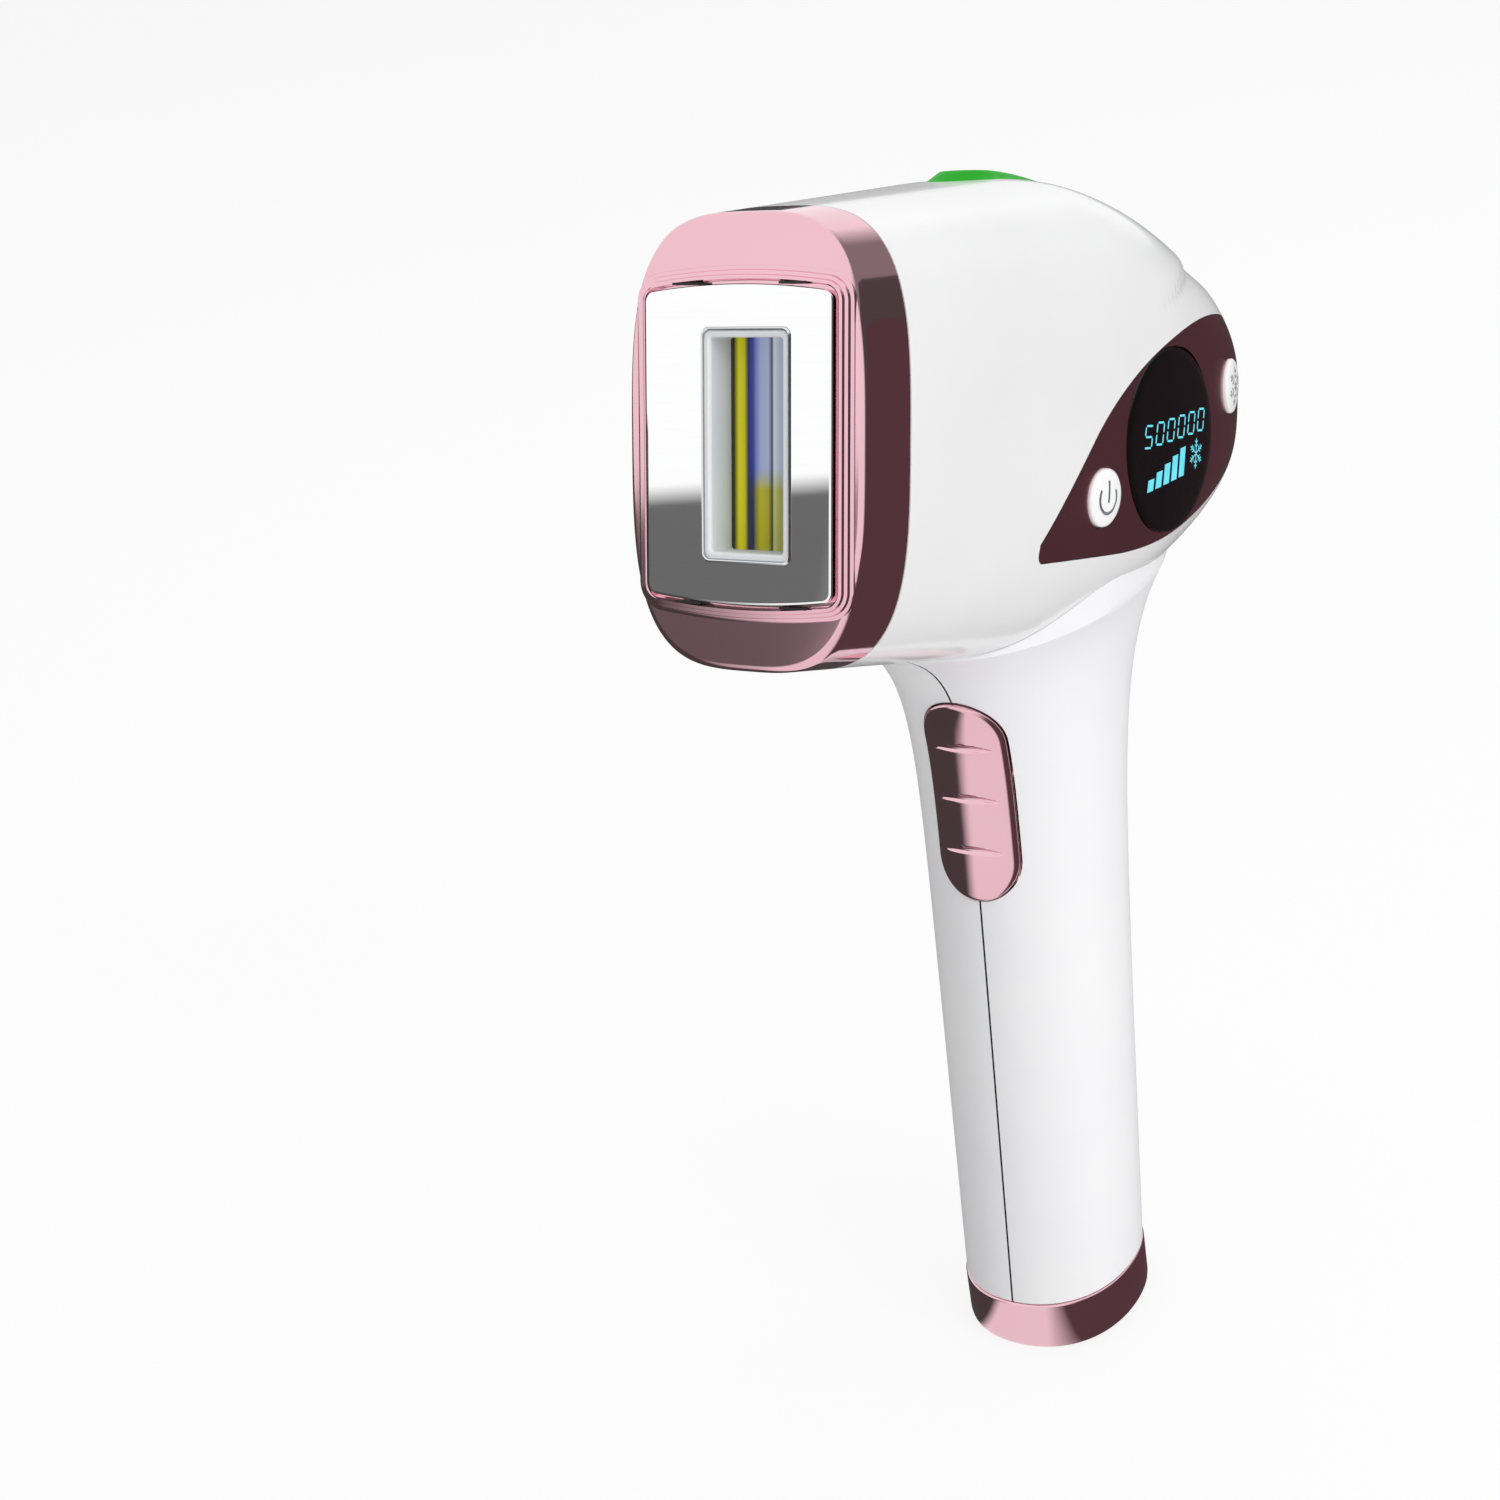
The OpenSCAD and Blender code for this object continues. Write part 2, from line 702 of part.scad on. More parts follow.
module fan_frame() {
    color([0.12, 0.12, 0.13]) in_head() translate([fan_x, fan_y, fan_z]) rotate([90, 0, 90]) {
        difference() {
            linear_extrude(fan_t) round_rect(fan_size, fan_size, 3);
            translate([0, 0, -1]) cylinder(r = fan_r, h = fan_t + 2, $fn = 96);
            for (x = [-1, 1], y = [-1, 1]) translate([x * (fan_r - 2.5), y * (fan_r - 2.5), -1])
                cylinder(r = 1.6, h = fan_t + 2, $fn = 24);
        }
        translate([0, 0, fan_t - 1.4]) {
            cylinder(r = 7, h = 1.4);
            for (a = [45 : 90 : 315]) rotate([0, 0, a]) translate([6, -0.9, 0]) cube([fan_r - 5.6, 1.8, 1.4]);
        }
        translate([0, 0, 2]) cylinder(r = pin_r, h = fan_t - 2.5, $fn = 32);
    }
}

module fan_rotor() {
    color([0.2, 0.2, 0.22]) in_head() translate([fan_x, fan_y, fan_z]) rotate([90, 0, 90]) difference() {
        union() {
            translate([0, 0, 0.8]) cylinder(r = 7, h = fan_t - 3);
            intersection() {
                translate([0, 0, 0.8]) cylinder(r = fan_r - 0.7, h = fan_t - 3.4);
                for (i = [0 : fan_blades - 1]) rotate([0, 0, i * 360 / fan_blades])
                    translate([6, 0, fan_t / 2 - 1]) rotate([42, 0, 0]) translate([0, -6, -0.5])
                        cube([fan_r, 12, 1]);
            }
        }
        translate([0, 0, 1.4]) cylinder(r = pin_r + slide_gap, h = fan_t, $fn = 32);
        translate([0, 0, 2.4]) difference() {
            cylinder(r = 6, h = fan_t);
            translate([0, 0, -1]) cylinder(r = 2.4, h = fan_t + 2);
        }
    }
}

module charger_board() {
    color("darkgreen") in_head() {
        block([-19, 15], [88.5, 113], [-12, -10.4]);
        block([-9, 9], [93, 107], [-10.4, 4]);
        block([-12, -9], [95, 105], [-10.4, 0]);
        for (x = [-15, 12]) translate([x, 98, -10.4]) cylinder(r = 2.6, h = 9, $fn = 24);
    }
}

module housing_screws() {
    color("dimgray") {
        in_head() for (p = head_posts) translate([0, p[0], p[1]]) rotate([0, 90, 0]) {
            translate([0, 0, -10.5]) cylinder(r = screw_r, h = 17.5, $fn = 24);
            translate([0, 0, -11.8]) cylinder(r = 2.4, h = 1.8, $fn = 24);
        }
        for (p = handle_posts) translate([0, p[0], p[1]]) rotate([0, 90, 0]) {
            translate([0, 0, -7.5]) cylinder(r = screw_r, h = 13.5, $fn = 24);
            translate([0, 0, -8.8]) cylinder(r = 2.4, h = 1.8, $fn = 24);
        }
    }
}

// ---- Handle ------------------------------------------------------------------------

module handle_solid(z0, z1, d = 0, count = 13, n = ring_n) {
    loft([for (i = [count : -1 : 0]) handle_ring(z0 + (z1 - z0) * (1 - pow(1 - i / count, 1.5)), d, n)]);
}

// Capsule outline of the trigger, in X and Z
module trigger_outline(d = 0) {
    r = trigger_w / 2;
    translate([0, trigger_z]) {
        square([2 * (r + d), trigger_l - 2 * r], center = true);
        for (s = [-1, 1]) translate([0, s * (trigger_l / 2 - r)]) circle(r + d, $fn = 48);
    }
}

handle_posts = [[handle_mid(78), 78], [handle_mid(17.5) - 9, 17.5]];

module handle_half_shell(s) {
    color([0.9, 0.9, 0.91]) difference() {
        intersection() {
            half_space(s);
            union() {
                difference() {
                    handle_solid(cap_h + gap, joint_z + 6);
                    handle_solid(cap_h - 1, joint_z + 8, handle_wall, 9, inner_n);
                }
                for (p = handle_posts) translate([0, p[0], p[1]]) rotate([0, 90, 0])
                    cylinder(r = boss_r, h = 2 * handle_x(p[0] - boss_r, p[1]) - handle_wall, center = true);
            }
        }
        in_head() head_middle();
        span_y(-60, 0) trigger_outline(slide_gap);
        for (p = handle_posts) translate([0, p[0], p[1]]) rotate([0, 90, 0])
            if (s < 0) {
                translate([0, 0, -30]) cylinder(r = screw_r + gap, h = 31);
                translate([0, 0, -30]) cylinder(r = 2.4 + gap, h = 23);
            } else cylinder(r = screw_r + gap, h = 8);
    }
}

module handle_shell_left() { handle_half_shell(-1); }
module handle_shell_right() { handle_half_shell(1); }

module cap_ring(z, d) {
    polygon([for (p = handle_ring(z, d)) [p[0], p[1]]]);
}

inlet_y = 7.5;

module end_cap() {
    color([0.6, 0.4, 0.45]) difference() {
        union() {
            loft([for (p = [[cap_h, 0.15], [cap_h - 0.4, -0.1], [0.9, -0.2], [0.3, 0.1], [0, 0.7]])
                [for (q = handle_ring(cap_h, p[1])) [q[0], q[1], p[0]]]]);
            linear_extrude(cap_h + 3.6) cap_ring(cap_h, handle_wall + 0.5);
        }
        translate([0, 0, 2.4]) linear_extrude(cap_h + 4) cap_ring(cap_h, handle_wall + 2.1);
        translate([0, inlet_y, -1]) cylinder(r = inlet_r + 1.6 + gap, h = 5);
    }
}

module dc_inlet() {
    color([0.1, 0.1, 0.1]) translate([0, inlet_y, 0]) {
        difference() {
            union() {
                translate([0, 0, 0.3]) cylinder(r = inlet_r + 1.6, h = 3);
                translate([0, 0, 2.5]) linear_extrude(inlet_l) square([10, 9], center = true);
            }
            translate([0, 0, -1]) cylinder(r = inlet_r, h = inlet_l + 1.3);
        }
        translate([0, 0, 1.6]) cylinder(r = 1, h = inlet_l, $fn = 24);
        for (x = [-3, 3]) translate([x, 0, inlet_l + 2.5]) linear_extrude(4) square([2, 0.6], center = true);
    }
}

module flash_capacitor() {
    z0 = 21;
    color([0.1, 0.12, 0.2]) translate([0, handle_mid(z0 + capacitor_l / 2), z0 + capacitor_l / 2])
        rotate([-lean, 0, 0]) {
            translate([0, 0, -capacitor_l / 2]) rotate_extrude($fn = 64) polygon([[0, 0], [capacitor_r - 0.5, 0],
                [capacitor_r, 0.5], [capacitor_r, capacitor_l - 5], [capacitor_r - 0.8, capacitor_l - 4],
                [capacitor_r, capacitor_l - 3], [capacitor_r, capacitor_l - 0.5],
                [capacitor_r - 0.5, capacitor_l], [0, capacitor_l]]);
            for (y = [-3, 3]) translate([0, y, capacitor_l / 2 - eps]) cylinder(r = 0.8, h = 3, $fn = 24);
        }
}

// ---- Trigger -----------------------------------------------------------------------

// Frame whose +Y is the trigger's inward direction, with its origin on the handle's front
module at_trigger() {
    translate([0, handle_front(trigger_z), trigger_z]) rotate([-atan(front_slope), 0, 0]) children();
}

guide_y = 11;               // depth of the guide's plate behind the handle's front
trigger_proud = 0.9;
trigger_in = handle_wall + 1.1;     // depth of the trigger's back, from the handle's surface
plunger_y = guide_y - 4.2;

// The handle's form near the trigger, set in by d
module trigger_form(d, n = inner_n) { handle_solid(trigger_z - 25, trigger_z + 25, d, 5, n); }

module trigger() {
    reach = handle_front(trigger_z) + 6;
    color([0.75, 0.5, 0.55]) {
        difference() {
            union() {
                intersection() {
                    trigger_form(-trigger_proud, ring_n);
                    span_y(-60, reach) trigger_outline(0);
                }
                intersection() {
                    trigger_form(handle_wall + slide_gap);
                    span_y(-60, reach) trigger_outline(1.2);
                }
            }
            trigger_form(trigger_in);
            at_trigger() for (i = [-1 : 1]) translate([0, -trigger_proud - 5.7, i * 9.4])
                rotate_extrude($fn = 64) translate([6, 0]) circle(0.45, $fn = 16);
        }
        at_trigger() {
            block([-3.5, 3.5], [2, plunger_y - trigger_travel - 0.1], [-12, -6]);
            translate([0, 1, 9]) rotate([-90, 0, 0]) {
                cylinder(r = 3.2, h = trigger_in - 1);
                cylinder(r = 1.3, h = trigger_in + 1.6, $fn = 24);
            }
        }
    }
}

module trigger_guide() {
    half = handle_half(trigger_z) - handle_wall - 2.4;
    color([0.3, 0.3, 0.32]) at_trigger() difference() {
        union() {
            block([-half, half], [guide_y, guide_y + 2], [-18, 16]);
            translate([0, guide_y, 9]) rotate([90, 0, 0]) cylinder(r = 1.3, h = 2, $fn = 24);
        }
        block([-5, 5], [guide_y - 1, guide_y + 3], [-1, 4]);
    }
}

module trigger_switch() {
    color([0.1, 0.1, 0.1]) at_trigger() {
        block([-6.4, 6.4], [guide_y - 3.9, guide_y], [-13, -7]);
        block([-1, 1], [plunger_y, guide_y - 3.8], [-10.5, -8.5]);
    }
}

// Coil spring between the trigger and the guide, a tube swept along a helix
module trigger_spring() {
    sides = 6;
    steps = 14;
    coil_r = 2.1;
    y0 = trigger_in + spring_wire / 2 + 0.05;
    y1 = guide_y - spring_wire / 2 - 0.05;
    count = spring_turns * steps;
    color("silver") at_trigger() translate([0, 0, 9])
        loft([for (i = [0 : count]) let (a = i * 360 / steps, y = y0 + (y1 - y0) * i / count)
            [for (j = [0 : sides - 1]) let (b = -j * 360 / sides, r = coil_r + spring_wire / 2 * cos(b))
                [r * cos(a), y + spring_wire / 2 * sin(b), r * sin(a)]]]);
}

head_shell_left();
head_shell_right();
handle_shell_left();
handle_shell_right();
end_cap();
dc_inlet();
status_lens();
control_panel();
display_window();
display_module();
display_board();
power_switch();
cooling_switch();
chassis();
lamp_socket();
contact_block();
main_board();
charger_board();
heat_sink();
cooling_module();
heat_pipes();
fan_frame();
fan_rotor();
flash_capacitor();
trigger_guide();
trigger_switch();
trigger_spring();
trigger();
housing_screws();
power_button();
cooling_button();
lamp_casing();
lamp_back();
cooling_plate();
skin_sensors();
window_trim();
window_frame();
filter_glass();
lamp_tube();
lamp_electrodes();
reflector();
contact_pins();
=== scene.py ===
# %% [markdown]
# # A hand-held flash hair remover
# The handset is a pistol shape: a tapered white head, a rose-coloured lamp head with a
# mirror cooling plate at the front, a plum control panel on the right side, a trigger on
# the handle and an end cap that it stands on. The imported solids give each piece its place.
# This lesson dresses them: the curved shells are made again as smooth surfaces, and every
# piece gets the finish that the real one has.

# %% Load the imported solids
import math
from functools import lru_cache

import bmesh
import bpy
from mathutils import Matrix, Vector


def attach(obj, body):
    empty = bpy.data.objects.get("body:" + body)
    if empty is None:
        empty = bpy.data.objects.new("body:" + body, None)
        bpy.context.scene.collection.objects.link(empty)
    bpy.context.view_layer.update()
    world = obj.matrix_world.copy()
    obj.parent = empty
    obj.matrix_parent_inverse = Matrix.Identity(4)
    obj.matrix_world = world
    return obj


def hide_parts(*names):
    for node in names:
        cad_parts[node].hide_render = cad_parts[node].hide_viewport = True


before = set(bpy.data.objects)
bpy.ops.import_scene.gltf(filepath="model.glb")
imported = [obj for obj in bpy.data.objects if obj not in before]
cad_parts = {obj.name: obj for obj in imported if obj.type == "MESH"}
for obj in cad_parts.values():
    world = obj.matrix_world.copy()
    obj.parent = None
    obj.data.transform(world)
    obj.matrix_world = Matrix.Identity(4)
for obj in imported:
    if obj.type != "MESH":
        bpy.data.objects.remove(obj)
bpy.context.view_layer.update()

MM = 0.001  # the scene is in metres, the sizes below are in millimetres

# %% [markdown]
# ## Camera
# The photograph looks down on the handset from its front right, with the camera leaning a
# little. The lens is a long one, so the head keeps its proportions. The three directions
# are the camera's own axes, which is the plainest way to write a camera that leans.

# %% Camera
camera_right = (0.84616, 0.51153, -0.14948)
camera_up = (-0.08219, 0.40239, 0.91177)
camera_back = (0.52655, -0.75922, 0.38253)
camera_at = (0.19684, -0.35498, 0.28439)
camera = bpy.data.objects.new("camera", bpy.data.cameras.new("camera"))
bpy.context.scene.collection.objects.link(camera)
camera.data.sensor_width = 36
camera.data.lens = 62.4
camera.data.clip_start = 0.01
camera.matrix_world = Matrix.Translation(camera_at) @ Matrix(
    (camera_right, camera_up, camera_back)).transposed().to_4x4()
bpy.context.scene.camera = camera
bpy.context.scene.view_settings.view_transform = "Standard"
print("camera lens:", camera.data.lens, "mm")

# %% [markdown]
# ## Materials
# A material is a small net of nodes. One function fills a node's inputs, one adds a node,
# and one turns an sRGB hex value to the linear numbers that the shader wants. A pattern's
# scale is worked out from the size in millimetres that it has on the real thing.

# %% Colour and node helpers
def linear(hex_value):
    """sRGB hex to linear RGBA."""
    channels = [int(hex_value[i:i + 2], 16) / 255 for i in (1, 3, 5)]
    return [c / 12.92 if c <= 0.04045 else ((c + 0.055) / 1.055) ** 2.4 for c in channels] + [1]


def plug(node, **inputs):
    """Fills inputs by name, or by number as i0: a value is written, an output socket linked."""
    for key, value in inputs.items():
        numbered = key[0] == "i" and key[1:].isdigit()
        socket = node.inputs[int(key[1:]) if numbered else key.replace("_", " ")]
        if isinstance(value, bpy.types.NodeSocket):
            node.id_data.links.new(value, socket)
        else:
            socket.default_value = value


def add(tree, kind, settings=None, stops=(), **inputs):
    """Adds a node with its settings and inputs. Stops are a ramp's places and hex colours."""
    node = tree.nodes.new("ShaderNode" + kind)
    for key, value in (settings or {}).items():
        setattr(node, key, value)
    for i, (position, colour) in enumerate(stops):
        elements = node.color_ramp.elements
        element = elements[i] if i < 2 else elements.new(position)
        element.position, element.color = position, linear(colour)
    plug(node, **inputs)
    return node


def new_material(name):
    """An empty material with its tree, its shader and Object coordinates."""
    material = bpy.data.materials.new(name)
    material.use_nodes = True
    tree = material.node_tree
    return material, tree, tree.nodes["Principled BSDF"], add(tree, "TexCoord").outputs["Object"]


def per_metre(size_mm):
    """The scale of a pattern whose grains are size_mm apart."""
    return 1000 / size_mm


def moulded(name, hex_low, hex_high, rough, grain_mm, bump, metallic=0.0, coat=0.0):
    """A moulded or coated surface: its colour drifts a little, and fine grain breaks the gloss."""
    material, tree, shader, place = new_material(name)
    drift = add(tree, "TexNoise", Vector=place, Scale=per_metre(28.6), Detail=3.0).outputs["Fac"]
    colour = add(tree, "ValToRGB", stops=[(0.3, hex_low), (0.7, hex_high)], Fac=drift)
    grain = add(tree, "TexNoise", Vector=place, Scale=per_metre(grain_mm), Detail=4.0).outputs["Fac"]
    gloss = add(tree, "MapRange", Value=grain, To_Min=rough * 0.9, To_Max=rough * 1.1)
    relief = add(tree, "Bump", Strength=bump, Distance=0.02 * MM, Height=grain)
    plug(shader, Base_Color=colour.outputs["Color"], Roughness=gloss.outputs["Result"],
         Normal=relief.outputs["Normal"], Metallic=metallic, Coat_Weight=coat, Coat_Roughness=0.06)
    return material


print("helpers ready; mid grey is", round(linear("#808080")[0], 3), "in linear light")

# %% [markdown]
# ## Finishes of the housing
# The head is polished white ABS, and the handle the same ABS with a finer, satin skin. The
# lamp head, the trigger and the end cap are ABS with a vapour coat of aluminium under a rose
# lacquer, which mirrors its surroundings as tinted metal does. One function serves them all,
# because they differ only in colour, gloss and the size of their grain.

# %% Housing finishes
def parting_shadow(material, half_mm):
    """Darkens the walls inside the parting line, where hardly any light gets in."""
    tree = material.node_tree
    shader = tree.nodes["Principled BSDF"]
    place = add(tree, "TexCoord").outputs["Object"]
    across = add(tree, "SeparateXYZ", Vector=place).outputs["X"]
    distance = add(tree, "Math", {"operation": "ABSOLUTE"}, i0=across).outputs[0]
    open_air = add(tree, "Math", {"operation": "GREATER_THAN"}, i0=distance, i1=half_mm * MM).outputs[0]
    colour = shader.inputs["Base Color"].links[0].from_socket
    mix = add(tree, "Mix", {"data_type": "RGBA"}, Factor=open_air, i6=linear("#1e1c26"), i7=colour)
    plug(shader, Base_Color=mix.outputs[2])


# Injection-moulded in a polished mould: broad soft highlights under a thin clear gloss. Its white is set a
# shade darker than the handle's: painted shade.
gloss_white_abs = moulded("polished_white_abs_painted_shade", "#e6e6e7", "#eaeaeb", 0.22, 0.8, 0.05, coat=0.25)
# Moulded in an eroded mould: satin, its 0.3 mm grain drawn as coarse as it needs to show. Its white is set a
# shade lighter than the head's: painted light on the handle, which the head shades from the top lamp.
satin_white_abs = moulded("satin_grained_white_abs_painted_light", "#f1f1f3", "#f5f5f6", 0.42, 0.3, 0.25)
parting_shadow(satin_white_abs, 0.17)
# Aluminium vapour under rose lacquer, on a polished moulding: hard bands of dark and light
rose_metallised = moulded("rose_metallised_abs", "#eebdc9", "#f1c3ce", 0.075, 0.4, 0.012, 1.0)
# The same coat on a finer grained moulding: a darker plum whose reflections are blurred
plum_metallised = moulded("plum_metallised_abs", "#d29dab", "#d8a3b0", 0.26, 0.4, 0.05, 1.0)
# Moulded buttons, slightly duller than the head so that they stand out from the panel
button_white = moulded("button_white_abs", "#f2f2f2", "#f5f5f5", 0.3, 0.5, 0.06)
# Cast acrylic, tinted black and polished: almost a mirror
black_glass = moulded("black_display_acrylic", "#070708", "#0a0a0b", 0.09, 2.0, 0.01)
finishes = gloss_white_abs, satin_white_abs, rose_metallised, plum_metallised, button_white, black_glass
print("housing finishes:", [material.name for material in finishes])

# %% [markdown]
# ## Curves of the housing
# The head's section is a rounded rectangle that the formula of a superellipse draws. It
# widens from the front face to the display and closes at the tail. The same named sizes as
# in the solids are used, and the head's outlines are averaged over a short length, so that
# gloss runs over them evenly.

# %% Head outlines
face_w, face_h, head_w, head_l, wide_y = 38.7, 64, 59.6, 135.8, 85.2
crown_z, crown_y, belly_z, belly_y, tail_z, head_wall = 40, 69.4, 35.2, 51.5, 2.1, 2.4
band_d, gap = 12.5, 0.15
window_y, window_z, pitch = 62.3, 184.2, 16
head_n, handle_n = 3.3, 2.2
side_power, spine_power = 3.1, 1.6  # how bluntly the tail closes, from above and from the side
blend, blend_tail, blend_front = 10.0, 0.35, 0.8  # averaged length, and its shares near the ends
to_row = Matrix.Diagonal((MM, MM, MM, 1))
to_head = to_row @ Matrix.Translation((0, -window_y, window_z)) @ Matrix.Rotation(
    math.radians(-pitch), 4, "X")


def clamp01(v):
    return min(max(v, 0.0), 1.0)


def smooth(v):
    v = clamp01(v)
    return v * v * (3 - 2 * v)


def tail_fall(y, start, power, d):
    """1 up to start, then down to 0 at the tail."""
    return (1 - clamp01((y - start) / (head_l - d - start)) ** power) ** (1 / power)


def raw_outline(y, d):
    """Half width, top and bottom of the head's section at y, set in by d."""
    half = face_w / 2 + (head_w - face_w) / 2 * clamp01(y / wide_y)
    crown = face_h / 2 + (crown_z - face_h / 2) * clamp01(y / crown_y)
    belly = face_h / 2 + (belly_z - face_h / 2) * clamp01(y / belly_y)
    return ((half - d) * tail_fall(y, wide_y, side_power, d),
            tail_z + (crown - d - tail_z) * tail_fall(y, crown_y, spine_power, d),
            tail_z - (belly - d + tail_z) * tail_fall(y, belly_y, spine_power, d))


@lru_cache(maxsize=None)
def outline(y, d):
    """The same three sizes, averaged over up to the blend's length each way."""
    reach = max(min(blend, (head_l - d - y) * blend_tail, (y - 2) * blend_front), 0.0)
    steps = [i / 8 for i in range(-8, 9)]
    weights = [math.cos(s * math.pi / 2) ** 2 + 1e-9 for s in steps]
    total = [0.0, 0.0, 0.0]
    for s, w in zip(steps, weights):
        for i, v in enumerate(raw_outline(y + s * reach, d)):
            total[i] += v * w
    return [v / sum(weights) for v in total]


def squircle(angle, n):
    """A point of the unit superellipse in the direction of angle."""
    c, s = math.cos(angle), math.sin(angle)
    r = (abs(c) ** n + abs(s) ** n) ** (-1 / n)
    return c * r, s * r


def side_x(y, z):
    """Half width of the head's right side at a place seen from the side."""
    width, top, low = outline(round(y, 3), 0.0)
    v = abs((z - (top + low) / 2) / ((top - low) / 2))
    return width * max(1 - v ** head_n, 0) ** (1 / head_n)


print("head is", round(2 * outline(wide_y, 0)[0], 2), "mm wide at the display")

# %% [markdown]
# ## The scoop behind the crown
# At the rear of the crown the real shell steps down by less than a millimetre along an
# oblique line, which fades out on each side above the panel. Moving the rings' points inwards
# there makes the step part of the surface, with no piece of its own.

# %% Scoop
scoop_depth, scoop_low, scoop_rise = 0.85, 17.6, 8
scoop_step, scoop_fade = 2.0, 24
bend_z, bend_y, slope = 26, 95.5, 2.3  # the line is steep above the panel, then runs at 45 degrees
RING = 240


def scoop(y, z):
    """How far the surface is set in at a place near the rear of the crown."""
    line = bend_y + (z - bend_z) * (slope if z < bend_z else 1)
    depth = scoop_depth * smooth((z - scoop_low) / scoop_rise)
    return depth * smooth((y - line) / scoop_step) * (1 - smooth((y - line - scoop_step) / scoop_fade))


def head_ring(y, d):
    """Points of the head's section at y, set in by d, with the scoop on the outer form."""
    width, top, low = outline(round(y, 3), d)
    middle, tall = (top + low) / 2, (top - low) / 2
    points = []
    for i in range(RING):
        u, v = squircle(2 * math.pi * i / RING, head_n)
        x, z = width * u, middle + tall * v
        inset = scoop(y, z) if d < 1 else 0.0
        if inset > 0:
            shrink = 1 - inset / math.hypot(x, z - middle)
            x, z = x * shrink, middle + (z - middle) * shrink
        points.append((x, y, z))
    return points


print("scoop is", round(scoop(105, 34), 2), "mm deep on the crown")

# %% [markdown]
# ## Building with rings
# A shell such as this is made as a boat builder does it, from sections: a circle is created
# for each section, its points are moved onto the section's curve, and each pair of
# neighbouring circles is bridged. What has to be cut is cut with booleans.

# %% Ring helpers
NUDGE = 0.02  # keeps two rings that are bridged out of one plane, where their direction is unsure


def new_ring(bm, points):
    """Creates a circle, moves it onto the points and returns its edges."""
    before = set(bm.edges)
    verts = bmesh.ops.create_circle(bm, segments=len(points), radius=1)["verts"]
    verts.sort(key=lambda v: math.atan2(v.co.y, v.co.x))
    for vert, point in zip(verts, points):
        vert.co = point
    return [e for e in {e for v in verts for e in v.link_edges} if e not in before]


def skin(bm, rings, caps=(True, True)):
    """Bridges a list of rings, and closes the first and the last."""
    loops = [new_ring(bm, ring) for ring in rings]
    for a, b in zip(loops, loops[1:]):
        bmesh.ops.bridge_loops(bm, edges=a + b)
    for loop, wanted in zip((loops[0], loops[-1]), caps):
        if wanted:
            bmesh.ops.contextual_create(bm, geom=loop)
    return loops


def closed_rings(bm, rings):
    """Bridges rings round a closed section, as for a frame or a rim."""
    loops = [new_ring(bm, ring) for ring in rings]
    for a, b in zip(loops, loops[1:] + loops[:1]):
        bmesh.ops.bridge_loops(bm, edges=a + b)


def finish_piece(bm, name, material, place, sharp=35):
    """Turns a bmesh in millimetres into an object at the origin, in metres."""
    bmesh.ops.recalc_face_normals(bm, faces=bm.faces[:])
    bm.transform(place)
    mesh = bpy.data.meshes.new(name)
    bm.to_mesh(mesh)
    bm.free()
    mesh.shade_smooth()
    mesh.set_sharp_from_angle(angle=math.radians(sharp))
    mesh.materials.append(material)
    piece = bpy.data.objects.new(name, mesh)
    bpy.context.scene.collection.objects.link(piece)
    return piece


def lofted(rings, name="cutter", material=gloss_white_abs, place=to_head, sharp=35):
    """A closed body from rings, as a piece or as a cutter."""
    bm = bmesh.new()
    skin(bm, rings)
    return finish_piece(bm, name, material, place, sharp)


def carve(piece, cutters, operation="DIFFERENCE", sharp=35, materials="INDEX"):
    """Applies a boolean with each cutter, then removes the cutters."""
    for cutter in cutters:
        step = piece.modifiers.new("carve", "BOOLEAN")
        step.operation, step.solver, step.object = operation, "EXACT", cutter
        step.material_mode = materials
    depsgraph = bpy.context.evaluated_depsgraph_get()
    mesh = bpy.data.meshes.new_from_object(piece.evaluated_get(depsgraph))
    piece.modifiers.clear()
    piece.data = mesh
    mesh.shade_smooth()
    mesh.set_sharp_from_angle(angle=math.radians(sharp))
    for cutter in cutters:
        bpy.data.objects.remove(cutter)
    return piece


def place_piece(piece, body, slot, *nodes):
    """Puts a finished piece on its body, in the place of the solids that it stands for."""
    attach(piece, body)
    if nodes:
        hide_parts(*nodes)
    piece.data.calc_loop_triangles()
    print(piece.name, len(piece.data.loop_triangles), "triangles")
    return piece


print("points in a section of the head:", RING)

# %% [markdown]
# ## Head shells
# The head is two shells that meet at the middle, with a parting line of a tenth of a
# millimetre. One closed wall is made from outer and inner rings, and each half is cut from
# it. The sections lie closest where the scoop needs them.

# %% Sections of the head
front_y = band_d + gap
scoop_start, scoop_count, scoop_pitch, least_pitch = 79, 66, 0.4, 0.12


def head_stations(first, d, count=104):
    """Places of the sections, closer towards the tail and over the scoop."""
    last = head_l - d
    places = [first + (last - first) * (1 - (1 - i / count) ** 2) for i in range(count)]
    if d < 1:
        places += [scoop_start + scoop_pitch * i for i in range(scoop_count)]
    places = sorted(places)
    return [a for a, b in zip(places, places[1:] + [last]) if b - a > least_pitch]


def close_pole(bm, loop, d=0.0):
    """Draws the last ring to one point at the tail of the form that is set in by d."""
    made = bmesh.ops.extrude_edge_only(bm, edges=loop)["geom"]
    bmesh.ops.pointmerge(bm, verts=[g for g in made if isinstance(g, bmesh.types.BMVert)],
                         merge_co=(0, head_l - d - NUDGE, tail_z))


def head_form(first, d, stations=104, last=None):
    """The head's closed form from one section to the tail or to last, set in by d."""
    bm = bmesh.new()
    places = [y for y in head_stations(first, d, stations) if last is None or y < last]
    loops = skin(bm, [head_ring(y, d) for y in places], (True, last is not None))
    if last is None:
        close_pole(bm, loops[-1], d)
    return finish_piece(bm, "form", gloss_white_abs, to_head)


